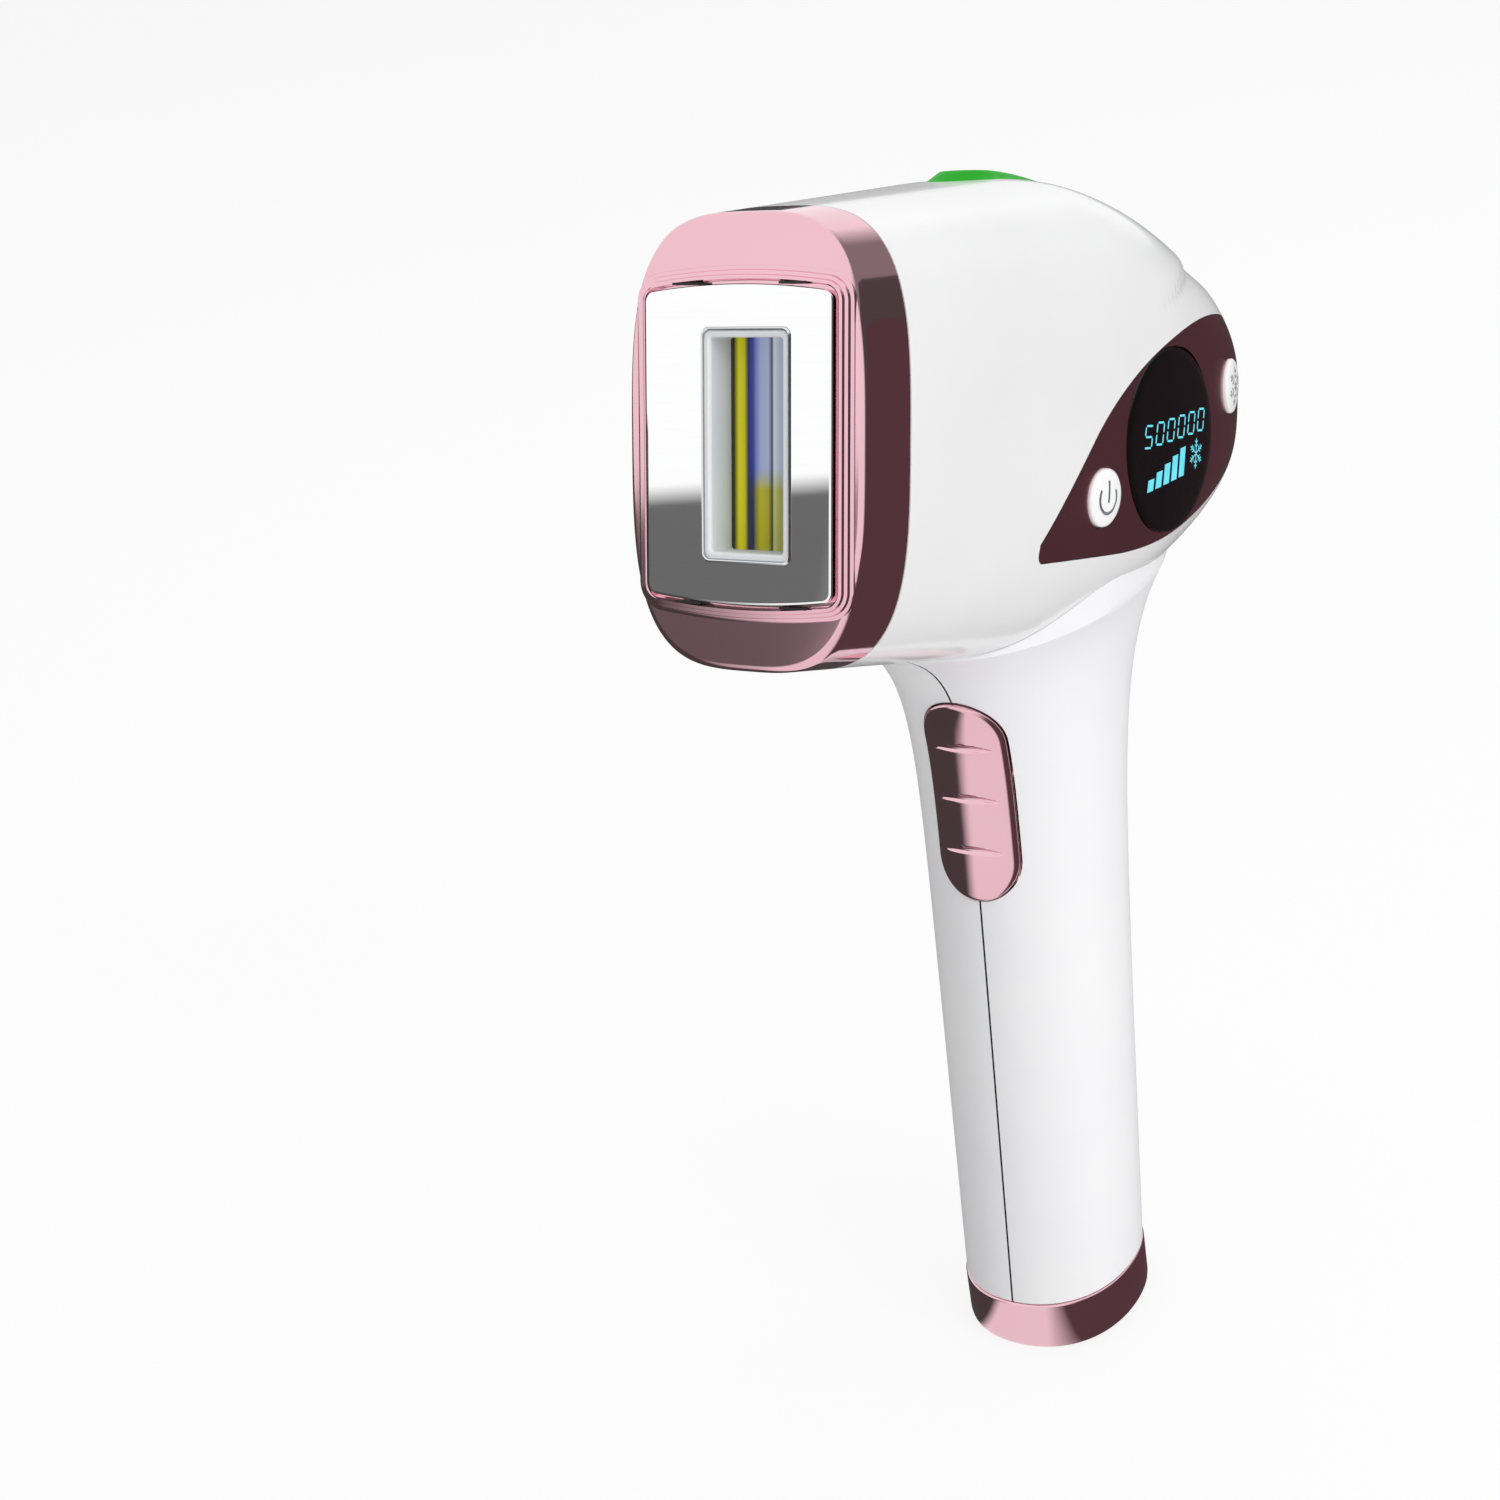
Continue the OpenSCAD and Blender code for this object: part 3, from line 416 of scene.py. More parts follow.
def half_of(bm, side, parting):
    """Cuts away the other half at the parting plane and closes the cut."""
    bmesh.ops.bisect_plane(bm, geom=bm.verts[:] + bm.edges[:] + bm.faces[:], dist=1e-5,
                           plane_co=(side * parting, 0, 0), plane_no=(side, 0, 0), clear_inner=True)
    bmesh.ops.holes_fill(bm, edges=[e for e in bm.edges if e.is_boundary], sides=0)


def head_half(side, name):
    """One half of the head's wall, which is open at the front."""
    bm = bmesh.new()
    outer = skin(bm, [head_ring(y, 0.0) for y in head_stations(front_y, 0.0)], (False, False))
    inner = skin(bm, [head_ring(y, head_wall) for y in head_stations(front_y + NUDGE, head_wall, 60)],
                 (False, False))
    close_pole(bm, outer[-1])
    close_pole(bm, inner[-1], head_wall)
    bmesh.ops.bridge_loops(bm, edges=outer[0] + inner[0])
    bmesh.ops.recalc_face_normals(bm, faces=bm.faces[:])
    half_of(bm, side, 0.05)
    return finish_piece(bm, name, gloss_white_abs, to_head)


print("sections of the outer wall:", len(head_stations(front_y, 0.0)))

# %% [markdown]
# ## Outline of the control panel
# Seen from the side the panel is a teardrop: one long arc over the display, a flatter arc
# below it and a small rounded tip towards the lamp. The shell gets a bed of the same
# outline, a little larger, so that a fine shadow line runs round the panel.

# %% Panel outline
panel_t, display_r, display_y, display_z = 1.5, 14.9, 85, -1.6
button_r, power_y, power_z, cooling_y, cooling_z = 4.6, 64.2, -9.9, 111.4, 6.5
tip_y, tip_z, tip_r, tip_rise = 47.2, -19.1, 1.4, 3
upper_r, upper_y, upper_z = 62, 106, 18.4
lower_r, lower_y = 95, 70


def arc_points(centre_y, centre_z, r, start, end, count):
    """Points of an arc in Y and Z, from one angle in degrees to another."""
    turns = [math.radians(start + (end - start) * i / count) for i in range(count + 1)]
    return [(centre_y + r * math.cos(t), centre_z + r * math.sin(t)) for t in turns]


def panel_points(d):
    """Teardrop outline in Y and Z, set in by d: tip, arc below, arc over the display."""
    return (arc_points(tip_y + tip_r, tip_z + tip_r, tip_r - d, 180, 270, 8)
            + arc_points(lower_y, tip_z + lower_r, lower_r - d, -90, -45, 36)
            + arc_points(upper_y, upper_z - upper_r, upper_r - d, 55, 135, 64)
            + [(tip_y + d, tip_z + tip_rise + d)])


def panel_prism(d):
    """A straight cutter with the panel's outline, through the right side."""
    return lofted([[(x, y, z) for y, z in panel_points(d)] for x in (0.5, 60)])


def side_place(y, z, step=0.5):
    """Axes on the right side's surface: local Z outwards, local X towards the tail."""
    normal = Vector((1, (side_x(y - step, z) - side_x(y + step, z)) / (2 * step),
                     (side_x(y, z - step) - side_x(y, z + step)) / (2 * step))).normalized()
    along = Vector((0, 0, 1)).cross(normal).normalized()
    axes = Matrix((along, normal.cross(along), normal)).transposed().to_4x4()
    return to_head @ Matrix.Translation((side_x(y, z), y, z)) @ axes


def disc_cutter(place, radius, low=-12, high=8):
    """A round cutter through the side's wall."""
    bm = bmesh.new()
    bmesh.ops.create_cone(bm, cap_ends=True, segments=96, radius1=radius, radius2=radius,
                          depth=high - low, matrix=Matrix.Translation((0, 0, (low + high) / 2)))
    return finish_piece(bm, "cutter", gloss_white_abs, place)


display_place = side_place(display_y, display_z)
power_place = side_place(power_y, power_z)
cooling_place = side_place(cooling_y, cooling_z)
print("display axis:", [round(v, 3) for v in (display_place.to_3x3() @ Vector((0, 0, 1))).normalized()])

# %% [markdown]
# ## Status lens
# A long green lens lies on the crown and glows when the lamp is ready. It is a stadium
# outline whose sides slope in, made from rings too. The rings below the surface follow the
# crown's curve, and those above it are flatter.

# %% Status lens
lens_y, lens_l, lens_w, lens_bend = 79, 36, 13, 0.4
lens_base = outline(lens_y, 0)[1]
at_lens = to_head @ Matrix.Translation((0, lens_y, lens_base))


def stadium(length, width, z, arc=40, side=1):
    """Outline of round ends, each with arc steps, and straight sides, long in Y."""
    r, straight = width / 2, (length - width) / 2
    points = []
    for s in (1, -1):
        points += [(s * r * math.cos(math.pi * i / arc), s * (straight + r * math.sin(math.pi * i / arc)), z)
                   for i in range(arc + 1)]
        points += [(-s * r, s * straight * (1 - 2 * i / side), z) for i in range(1, side)]
    return points


def lens_ring(inset_l, inset_w, z):
    """A ring of the lens, bent with the crown."""
    bend = 1 if z < 0 else lens_bend
    return [(x, y, z + (outline(round(lens_y + y, 2), 0)[1] - lens_base) * bend)
            for x, y, z in stadium(lens_l - inset_l, lens_w - inset_w, z, side=24)]


green, tree, shader, place = new_material("green_translucent_polycarbonate")
# Dyed polycarbonate, polished: deep green with a faint glow from the diode below it
cloud = add(tree, "TexNoise", Vector=place, Scale=per_metre(16.7))
shade = add(tree, "ValToRGB", stops=[(0.2, "#003c02"), (0.8, "#004404")], Fac=cloud.outputs["Fac"])
plug(shader, Base_Color=shade.outputs["Color"], Roughness=0.5, IOR=1.58, Specular_IOR_Level=0.15,
     Emission_Color=linear("#00a800"), Emission_Strength=0.8)
lens = lofted([lens_ring(*inset) for inset in
               ((0, 0, -3.4), (0, 0, -0.4), (1.2, 0.8, 0.15), (5.2, 3.4, 1.35), (6.4, 4.4, 1.75),
                (7.4, 5.4, 1.85), (9.4, 7.4, 1.9))], "status_lens_glow", green, at_lens)
place_piece(lens, "housing", "green_lens", "status_lens")

# %% [markdown]
# ## Cutting the right head shell
# The right shell is cut for the panel's bed, the display, the two buttons and the lens. The
# bed is the teardrop with the head's own form, set in by the panel's thickness, taken out
# of it, so that its floor runs parallel to the surface.

# %% Right head shell
button_clear = 1.6


def lens_slot():
    """A cutter for the lens, a gap wider all round."""
    return lofted([stadium(lens_l + 2 * gap, lens_w + 2 * gap, z) for z in (-8, 4)], place=at_lens)


bed = carve(panel_prism(-gap), [head_form(40, panel_t + gap)])
head_right = carve(head_half(1, "head_shell_right_polished"),
                   [bed, lens_slot(), disc_cutter(display_place, display_r - 1),
                    disc_cutter(power_place, button_r + button_clear),
                    disc_cutter(cooling_place, button_r + button_clear)])
place_piece(head_right, "housing", "gloss_white_abs", "head_shell_right")

# %% [markdown]
# ## Cutting the left head shell
# The fan sits behind the left side and draws its air through nine slots, which together
# fill a circle. Each slot is a stadium with round ends, swept through the wall.

# %% Left head shell
fan_y, fan_z, vent_r, vent_w, vent_pitch, vent_x = 62, 2, 17, 1.8, 3.6, -30


def vent_slot(i):
    """The slot in row i, as long as the circle is wide there."""
    z = i * vent_pitch
    reach = math.sqrt(vent_r ** 2 - z ** 2)
    across = to_head @ Matrix.Translation((vent_x, fan_y, fan_z + z)) @ Matrix.Rotation(
        math.radians(90), 4, "Y")
    return lofted([stadium(2 * reach, vent_w, depth, 12) for depth in (-20, 20)], place=across)


head_left = carve(head_half(-1, "head_shell_left_polished"),
                  [lens_slot()] + [vent_slot(i) for i in range(-4, 5)])
place_piece(head_left, "housing", "gloss_white_abs", "head_shell_left")

# %% [markdown]
# ## Control panel
# The panel is a thin metallised skin that follows the head, so it is cut from the head's own
# form: first to the teardrop, then to its thickness, then for the display and the buttons.

# %% Control panel
button_gap = 0.3
panel = head_form(40, 0.0)
panel.name = "control_panel_skin"
panel.data.materials[0] = plum_metallised
carve(panel, [panel_prism(0.0)], "INTERSECT")
carve(panel, [head_form(38, panel_t), disc_cutter(display_place, display_r + gap),
              disc_cutter(power_place, button_r + button_gap),
              disc_cutter(cooling_place, button_r + button_gap)])
place_piece(panel, "housing", "plum_metallic", "control_panel")

# %% [markdown]
# ## Display
# The display is a black acrylic disc, a little domed. It is turned work in form, so half of
# its section is drawn and spun round the axis.

# %% Display window
glass_rise, glass_edge = 0.5, display_r - 0.35


def glass_height(r):
    """Height of the display's dome at a radius."""
    return -glass_rise * (r / display_r) ** 2


def spun(profile, name, material, place, count=96):
    """Spins a profile of (radius, height) round local Z. The ends lie on the axis."""
    bm = bmesh.new()
    verts = [bm.verts.new((r, 0, z)) for r, z in profile]
    edges = [bm.edges.new(pair) for pair in zip(verts, verts[1:])]
    bmesh.ops.spin(bm, geom=verts + edges, cent=(0, 0, 0), axis=(0, 0, 1), angle=2 * math.pi,
                   steps=count, use_merge=True)
    bmesh.ops.remove_doubles(bm, verts=bm.verts[:], dist=1e-4)
    return finish_piece(bm, name, material, place)


glass_profile = [(0, -panel_t), (display_r, -panel_t), (display_r, -0.75), (display_r - 0.12, -0.62)]
glass_profile += [(r, glass_height(r)) for r in (glass_edge * (1 - i / 12) for i in range(13))]
place_piece(spun(glass_profile, "display_window_acrylic", black_glass, display_place, 128),
            "housing", "black_glass", "display_window")

# %% [markdown]
# ## Lit figures
# The display's figures are lit from behind: six leaning digits that count the flashes, five
# bars for the strength and a snowflake for the cooling. Each lit mark is a flat outline,
# extruded to a thin inlay whose points are then laid on the dome.

# %% Shapes of the figures
SEGMENTS = {"0": "abcdef", "5": "afgcd"}
JOINTS = {"a": ((0, 2), (1, 2)), "b": ((1, 2), (1, 1)), "c": ((1, 1), (1, 0)), "d": ((1, 0), (0, 0)),
          "e": ((0, 0), (0, 1)), "f": ((0, 1), (0, 2)), "g": ((0, 1), (1, 1))}
segment_t, segment_gap, digit_slant = 0.33, 0.14, 0.14


def ray(degrees):
    """A flat direction of length 1."""
    return Vector((math.cos(math.radians(degrees)), math.sin(math.radians(degrees))))


def bar(a, b, thick):
    """A straight bar from a to b with pointed ends, as an outline."""
    along = (b - a).normalized() * thick / 2
    across = Vector((-along.y, along.x))
    return [a, a + along + across, b - along + across, b, b - along - across, a + along - across]


def digit(character, x, y, width, height):
    """The lit bars of one leaning digit, with a small space between the bars."""
    shapes = []
    for name in SEGMENTS[character]:
        a, b = (Vector((x + u * width + v * height / 2 * digit_slant, y + v * height / 2))
                for u, v in JOINTS[name])
        space = (b - a).normalized() * segment_gap
        shapes.append(bar(a + space, b - space, segment_t))
    return shapes


def snowflake(centre, size, thick):
    """Six arms with two pairs of barbs each."""
    shapes = []
    for angle in range(30, 390, 60):
        arm = ray(angle) * size
        shapes.append(bar(centre + arm * 0.04, centre + arm, thick))
        for share, reach in ((0.42, 0.3), (0.68, 0.26)):
            foot = centre + arm * share
            shapes += [bar(foot, foot + ray(angle + lean) * size * reach, thick * 0.85)
                       for lean in (-52, 52)]
    return shapes


def inlay(shapes, name, material, place, height, lift, body, slot):
    """Flat outlines as one thin piece, laid on a face whose height is known at each radius."""
    bm = bmesh.new()
    for shape in shapes:
        bm.faces.new([bm.verts.new((x, y, 0)) for x, y in shape])
    made = bmesh.ops.extrude_face_region(bm, geom=bm.faces[:])["geom"]
    tops = {g for g in made if isinstance(g, bmesh.types.BMVert)}
    for vert in bm.verts:
        vert.co.z = height(vert.co.xy.length) + (lift if vert in tops else -lift)
    return place_piece(finish_piece(bm, name, material, place), body, slot)


print("bars in a 5:", len(digit("5", 0, 0, 2, 3)))

# %% Lit figures
cyan, tree, shader, place = new_material("cyan_lit_segment")
# Light through a printed mask: even and bright, a touch paler where the diodes sit
cloud = add(tree, "TexNoise", Vector=place, Scale=per_metre(2.5))
glow = add(tree, "ValToRGB", stops=[(0.2, "#63dcf0"), (0.8, "#7ceafb")], Fac=cloud.outputs["Fac"])
plug(shader, Base_Color=linear("#1c4a52"), Emission_Color=glow.outputs["Color"], Roughness=0.3,
     Emission_Strength=0.95)

R = display_r
row_left, row_low, row_step, row_slope = -0.66 * R, -0.07 * R, 0.247 * R, math.tan(math.radians(7))
bars_left, bars_low, bars_high, bars_step = -0.55 * R, -0.55 * R, -0.42 * R, 0.176 * R
low_slope, high_slope = 0.19, 0.455
figures = []
for i, character in enumerate("500000"):
    run = i * row_step
    figures += digit(character, row_left + run, row_low + run * row_slope, 0.15 * R, 0.234 * R)
for i in range(5):
    run = i * bars_step
    x, low, high = bars_left + run, bars_low + run * low_slope, bars_high + run * high_slope
    figures.append([(x, low), (x + 0.125 * R, low + 0.02 * R), (x + 0.14 * R, high + 0.02 * R),
                    (x + 0.015 * R, high)])
figures += snowflake(Vector((0.57 * R, -0.17 * R)), 0.17 * R, 0.19)
inlay(figures, "display_figures", cyan, display_place, glass_height, 0.02, "housing", "black_glass")

# %% [markdown]
# ## Buttons
# The power button is white with an engraved power mark, and the cooling button carries a grey printed
# snowflake. Both have a low dome, so the light slides over them, and a flange behind the panel that keeps
# them in. The engraving is a boolean whose cutter brings its own grey into the groove, as painted shade.

# %% Buttons
# Two-part ink, pad printed: flat and a little rough. The same grey lines the engraved power mark's groove as
# painted shade.
grey_print_and_groove_shade = moulded("grey_pad_print_and_painted_shade", "#8b8f92", "#94989b", 0.5, 0.4, 0.1)
button_top, button_rise, stem, flange_w, flange_t = 0.9, 0.45, 3.0, 0.9, 0.75
crown_r = button_r - 0.3
mark_inner, mark_outer, mark_floor, mark_opening, mark_steps = 2.15, 2.68, 0.42, 58, 40
stroke_w, stroke_low, stroke_high = 0.54, -0.7, 2.75


def button_height(r):
    """Height of a button's dome at a radius."""
    return button_top - button_rise * (r / crown_r) ** 2


def button_profile():
    """Stem, flange, side and dome."""
    low = [(0, -stem), (button_r + flange_w, -stem), (button_r + flange_w, flange_t - stem),
           (button_r, flange_t - stem), (button_r, button_top - 0.85), (button_r - 0.08, button_top - 0.62)]
    return low + [(r, button_height(r)) for r in (crown_r * (1 - i / 8) for i in range(9))]


def mark_cutter():
    """An open ring and a stroke, the sign for power."""
    turns = [90 + mark_opening + (360 - 2 * mark_opening) * i / mark_steps for i in range(mark_steps + 1)]
    ring = [ray(t) * mark_outer for t in turns] + [ray(t) * mark_inner for t in reversed(turns)]
    h = stroke_w / 2
    stroke = [(-h, stroke_low), (h, stroke_low), (h, stroke_high), (-h, stroke_high)]
    bm = bmesh.new()
    for shape in (ring, stroke):
        face = bm.faces.new([bm.verts.new((x, y, mark_floor)) for x, y in shape])
        made = bmesh.ops.extrude_face_region(bm, geom=[face])["geom"]
        bmesh.ops.translate(bm, vec=(0, 0, 2), verts=[g for g in made if isinstance(g, bmesh.types.BMVert)])
    # The cutter's grey goes into the groove as painted shade
    return finish_piece(bm, "cutter", grey_print_and_groove_shade, power_place)


power_button = spun(button_profile(), "power_button_dome", button_white, power_place)
carve(power_button, [mark_cutter()], materials="TRANSFER")
place_piece(power_button, "power_button", "button_white", "power_button")
cooling_button = spun(button_profile(), "cooling_button_dome", button_white, cooling_place)
place_piece(cooling_button, "cooling_button", "button_white", "cooling_button")
inlay(snowflake(Vector((0, 0)), 3.3, 0.42), "cooling_button_print", grey_print_and_groove_shade, cooling_place,
      button_height, 0.03, "cooling_button", "button_white")

# %% [markdown]
# ## Curves of the handle
# The handle's sections are nearly elliptic, lean back with the grip and flare out where the
# handle runs up to the head. The flare is an exponential curve, which starts so gently that
# no line shows. The trigger's opening is a stadium, wide enough for one finger.

# %% Handle curves
handle_w, handle_d, cap_h, joint_z, handle_wall = 30.4, 35.8, 9.6, window_z - 49, 2.2
front_lean, rear_lean, side_lean = 0.091, 0.112, 0.016
trigger_w, trigger_l, trigger_z, slide_gap = 15, 36.5, 105.2, 0.3


def handle_sizes(z, d=0.0):
    """Front, rear and half width of the handle's section, set in by d."""
    def flare(size, reach):
        return size * math.exp(min(z - joint_z, 1) / reach)
    front = -handle_d / 2 + front_lean * (z - cap_h) - flare(16.5, 8.7) + d
    rear = handle_d / 2 + rear_lean * (z - cap_h) + flare(13, 14) - d
    return front, rear, handle_w / 2 + side_lean * (z - cap_h) + flare(7, 12) - d


def handle_ring(z, d=0.0, at=None):
    """Points of the handle's section at z, or at z with the sizes that it has at another height."""
    front, rear, half = handle_sizes(z if at is None else at, d)
    section = [squircle(2 * math.pi * i / 160, handle_n) for i in range(160)]
    return [(half * u, (front + rear) / 2 + (rear - front) / 2 * v, z) for u, v in section]


def trigger_points(d):
    """The trigger's outline in X and Z grown by d, with points along its straight sides too."""
    return [(x, trigger_z + y) for x, y, _ in stadium(trigger_l + 2 * d, trigger_w + 2 * d, 0, 48, 112)]


print("handle is", round(2 * handle_sizes(trigger_z)[2], 1), "mm wide at the trigger")

# %% [markdown]
# ## Handle shells
# Two shells meet at the middle, with a parting line that is open enough to show as a dark
# hairline. They are made as the head's are: one wall from outer and inner rings, halved, then
# cut by the head's form where they run into it and by the trigger's outline.

# %% Handle shells
parting, lip, lip_inset, above_joint, wall_rings = 0.15, 0.15, 0.12, 6, 90


def handle_half_shell(side, name):
    """One half of the handle's wall, with a small broken edge over the cap."""
    low, high = cap_h + gap, joint_z + above_joint
    start = low + 0.5
    zs = [low, low + lip] + [start + (high - start) * (i / wall_rings) ** 0.85 for i in range(wall_rings + 1)]
    bm = bmesh.new()
    outer = skin(bm, [handle_ring(z, lip_inset if z == low else 0.0) for z in zs], (False, False))
    inner = skin(bm, [handle_ring(z, handle_wall) for z in [low + NUDGE] + zs[3::3] + [high + NUDGE]],
                 (False, False))
    for i in (0, -1):
        bmesh.ops.bridge_loops(bm, edges=outer[i] + inner[i])
    bmesh.ops.recalc_face_normals(bm, faces=bm.faces[:])
    half_of(bm, side, parting)
    shell = finish_piece(bm, name, satin_white_abs, to_row)
    opening = lofted([[(x, y, z) for x, z in trigger_points(slide_gap)] for y in (-60, 0)], place=to_row)
    return carve(shell, [head_form(20, -0.04, stations=80, last=125), opening])


for side, word in ((-1, "left"), (1, "right")):
    place_piece(handle_half_shell(side, f"handle_shell_{word}_satin"), "housing", "satin_white_abs",
                f"handle_shell_{word}")

# %% [markdown]
# ## Trigger
# The trigger follows the handle's front, stands proud of it by nearly a millimetre and has a
# rolled edge. Three slim grooves give the finger a hold. Its face is built from rings that
# shrink to its middle line. Its flange, its plunger and the spring's seat lie behind the
# shell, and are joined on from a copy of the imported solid.

# %% Trigger
trigger_proud, trigger_roll, face_step, trigger_back = 0.9, 0.75, 0.234, 1.3
groove_reach, groove_pitch, groove_rise, groove_w, groove_deep = 5.9, 9.35, 0.4, 0.62, 0.42


def handle_front_y(x, z):
    """The handle's front surface at a place seen from the front."""
    front, rear, half = handle_sizes(z)
    drop = (1 - clamp01(abs(x) / half) ** handle_n) ** (1 / handle_n)
    return (front + rear) / 2 - (rear - front) / 2 * drop


def groove_depth(x, z):
    """Depth of the three grooves, each a slim crescent that runs out at both ends."""
    reach = max(1 - (x / groove_reach) ** 2, 0)
    depth = 0
    for i in (-1, 0, 1):
        middle = trigger_z + groove_rise * reach + groove_pitch * i
        off = (z - middle) / (groove_w * reach + 0.01)
        depth = max(depth, groove_deep * math.sqrt(reach) * math.sqrt(max(1 - off ** 2, 0)))
    return depth


def trigger_layer(inset, lift):
    """The outline set in by inset, lying lift in front of the handle's surface."""
    return [(x, handle_front_y(x, z) - lift + groove_depth(x, z), z) for x, z in trigger_points(-inset)]


turns = [math.radians(15 * i) for i in range(7)]
layers = [trigger_layer(0.3, -1.6)]
layers += [trigger_layer(trigger_roll * (1 - math.cos(t)), trigger_proud - trigger_roll * (1 - math.sin(t)))
           for t in turns]
layers += [trigger_layer(0.95 + face_step * i, trigger_proud) for i in range(28)]
layers += [trigger_layer(trigger_w / 2, trigger_proud)]
bm = bmesh.new()
skin(bm, layers, (True, False))
bmesh.ops.remove_doubles(bm, verts=bm.verts[:], dist=1e-4)
trigger = finish_piece(bm, "trigger_rose", rose_metallised, to_row, sharp=50)
print("rings in the trigger's face:", len(layers))

# %% Inner part of the trigger
inner_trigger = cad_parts["trigger"].copy()
inner_trigger.data = inner_trigger.data.copy()
bpy.context.scene.collection.objects.link(inner_trigger)
bm = bmesh.new()
bm.from_mesh(inner_trigger.data)
bmesh.ops.remove_doubles(bm, verts=bm.verts[:], dist=1e-6)
bm.to_mesh(inner_trigger.data)
bm.free()
behind = lofted([[(x, handle_front_y(x, z) + depth, z) for x, z in trigger_points(2.5)]
                 for depth in (trigger_back, 25)], place=to_row)
carve(inner_trigger, [behind], "INTERSECT")
carve(trigger, [inner_trigger], "UNION", sharp=50)
place_piece(trigger, "trigger", "rose_metallic", "trigger")

# %% [markdown]
# ## End cap
# The cap is metallised as the trigger is. It stands a fifth of a millimetre proud of the
# handle, with a rolled lower edge and the round inlet in its flat base.

# %% End cap
cap_profile = [(0.0, 1.5), (0.05, 1.0), (0.3, 0.5), (0.7, 0.12), (1.2, -0.1), (1.9, -0.2),
               (9.2, -0.2), (9.45, -0.1), (9.6, 0.1)]
inlet_y, inlet_r, inlet_wall = 7.5, 2.85, 1.75
cap = lofted([handle_ring(z, d, at=cap_h) for z, d in cap_profile],
             "end_cap_rose", rose_metallised, to_row, sharp=50)
at_inlet = to_row @ Matrix.Translation((0, inlet_y, 0))
carve(cap, [disc_cutter(at_inlet, inlet_r + inlet_wall, -3, 11)], sharp=50)
place_piece(cap, "housing", "rose_metallic", "end_cap")

# %% [markdown]
# ## Lamp head casing
# The casing is one metallised moulding: a band that continues the head's sides, a flat
# front with a small rolled edge, and a stepped rim round the mirror plate. The band is made
# with the head's own rings, so that both meet flush, and the rim is joined to it.

# %% Plate outline
plate_w, plate_h, plate_arch, plate_r, face_y, casing_wall = 30.8, 44.8, 1.1, 1.6, 2.0, 1.8


def plate_points(d, y, corner=10, side=6, top=12):
    """The plate's outline with straight sides and arched ends, grown by d, at depth y."""
    arc = ((plate_w / 2) ** 2 + plate_arch ** 2) / (2 * plate_arch)
    centre = plate_h / 2 - arc
    half, r, big_r = plate_w / 2 + d, max(plate_r + d, 0.3), arc + d
    cx = half - r
    cz = centre + math.sqrt((big_r - r) ** 2 - cx ** 2)
    turn = math.atan2(cz - centre, cx)
    quarter = [(half, cz * i / side) for i in range(side)]
    quarter += [(cx + r * math.cos(turn * i / corner), cz + r * math.sin(turn * i / corner))
                for i in range(corner + 1)]
    quarter += [(big_r * math.cos(t), centre + big_r * math.sin(t))
                for t in (turn + (math.pi / 2 - turn) * i / top for i in range(1, top))]
    upper = quarter + [(0, plate_h / 2 + d)] + [(-x, z) for x, z in reversed(quarter)]
    lower = [(x, -z) for x, z in reversed(upper[1:-1])]
    return [(x, y, z) for x, z in upper + lower]


print("points in the plate's outline:", len(plate_points(0, 0)))

# %% Casing
edge_roll = 0.95


def casing_ring(y, d):
    """A section of the head, laid at a depth that may lie in front of the face."""
    return [(x, y, z) for x, _, z in head_ring(max(y, face_y), d)]


def plate_prism(d, low, high):
    """A cutter with the plate's outline."""
    return lofted([plate_points(d, y) for y in (low, high)])


turns = [math.radians(t) for t in range(0, 91, 15)]
sections = [(band_d, 0.12), (band_d - 0.12, 0.0), (band_d - 3, 0.0), (face_y + 4, 0.0), (face_y + 2, 0.0)]
sections += [(face_y + edge_roll * (1 - math.sin(t)), edge_roll * (1 - math.cos(t))) for t in turns]
sections += [(face_y - 0.001, 1.1)]
bm = bmesh.new()
outer = skin(bm, [casing_ring(y, d) for y, d in sections], (False, True))
inner = skin(bm, [casing_ring(y, casing_wall) for y in (band_d + NUDGE, face_y + casing_wall)], (False, True))
bmesh.ops.bridge_loops(bm, edges=inner[0] + outer[0])
casing = finish_piece(bm, "lamp_casing_rose", rose_metallised, to_head)
carve(casing, [plate_prism(0.45, -4, face_y + 0.3), plate_prism(-1.4, -4, 9)])
bm = bmesh.new()
closed_rings(bm, [plate_points(d, face_y + y) for d, y in
                  ((2.6, 0.4), (2.6, 0.02), (2.45, -0.18), (2.0, -0.3), (1.85, -0.75), (1.35, -0.85),
                   (1.2, -1.3), (0.75, -1.4), (0.55, -1.2), (0.43, 0.42))])
carve(casing, [finish_piece(bm, "rim", rose_metallised, to_head)], "UNION", sharp=40)
place_piece(casing, "lamp_head", "plum_metallic", "lamp_casing")

# %% [markdown]
# ## Cooling plate
# The plate that touches the skin is polished steel, as bright as a mirror, with a fine
# chamfer all round. The window's frame passes through it.

# %% Cooling plate
window_w, window_h, window_x, window_d, frame_t, trim_t = 11.9, 30, 1.5, 5.6, 1.0, 0.45


def window_points(d, y, corner=6):
    """The window's outline grown by d, at depth y."""
    r = 0.5 + d / 2
    a, b = window_w / 2 + d - r, window_h / 2 + d - r
    points = []
    for k, (sx, sz) in enumerate(((1, 1), (-1, 1), (-1, -1), (1, -1))):
        for i in range(corner + 1):
            x, z = ray(90 * k + 90 * i / corner) * r
            points.append((window_x + sx * a + x, y, sz * b + z))
    return points


mirror, tree, shader, place = new_material("mirror_polished_stainless_steel")
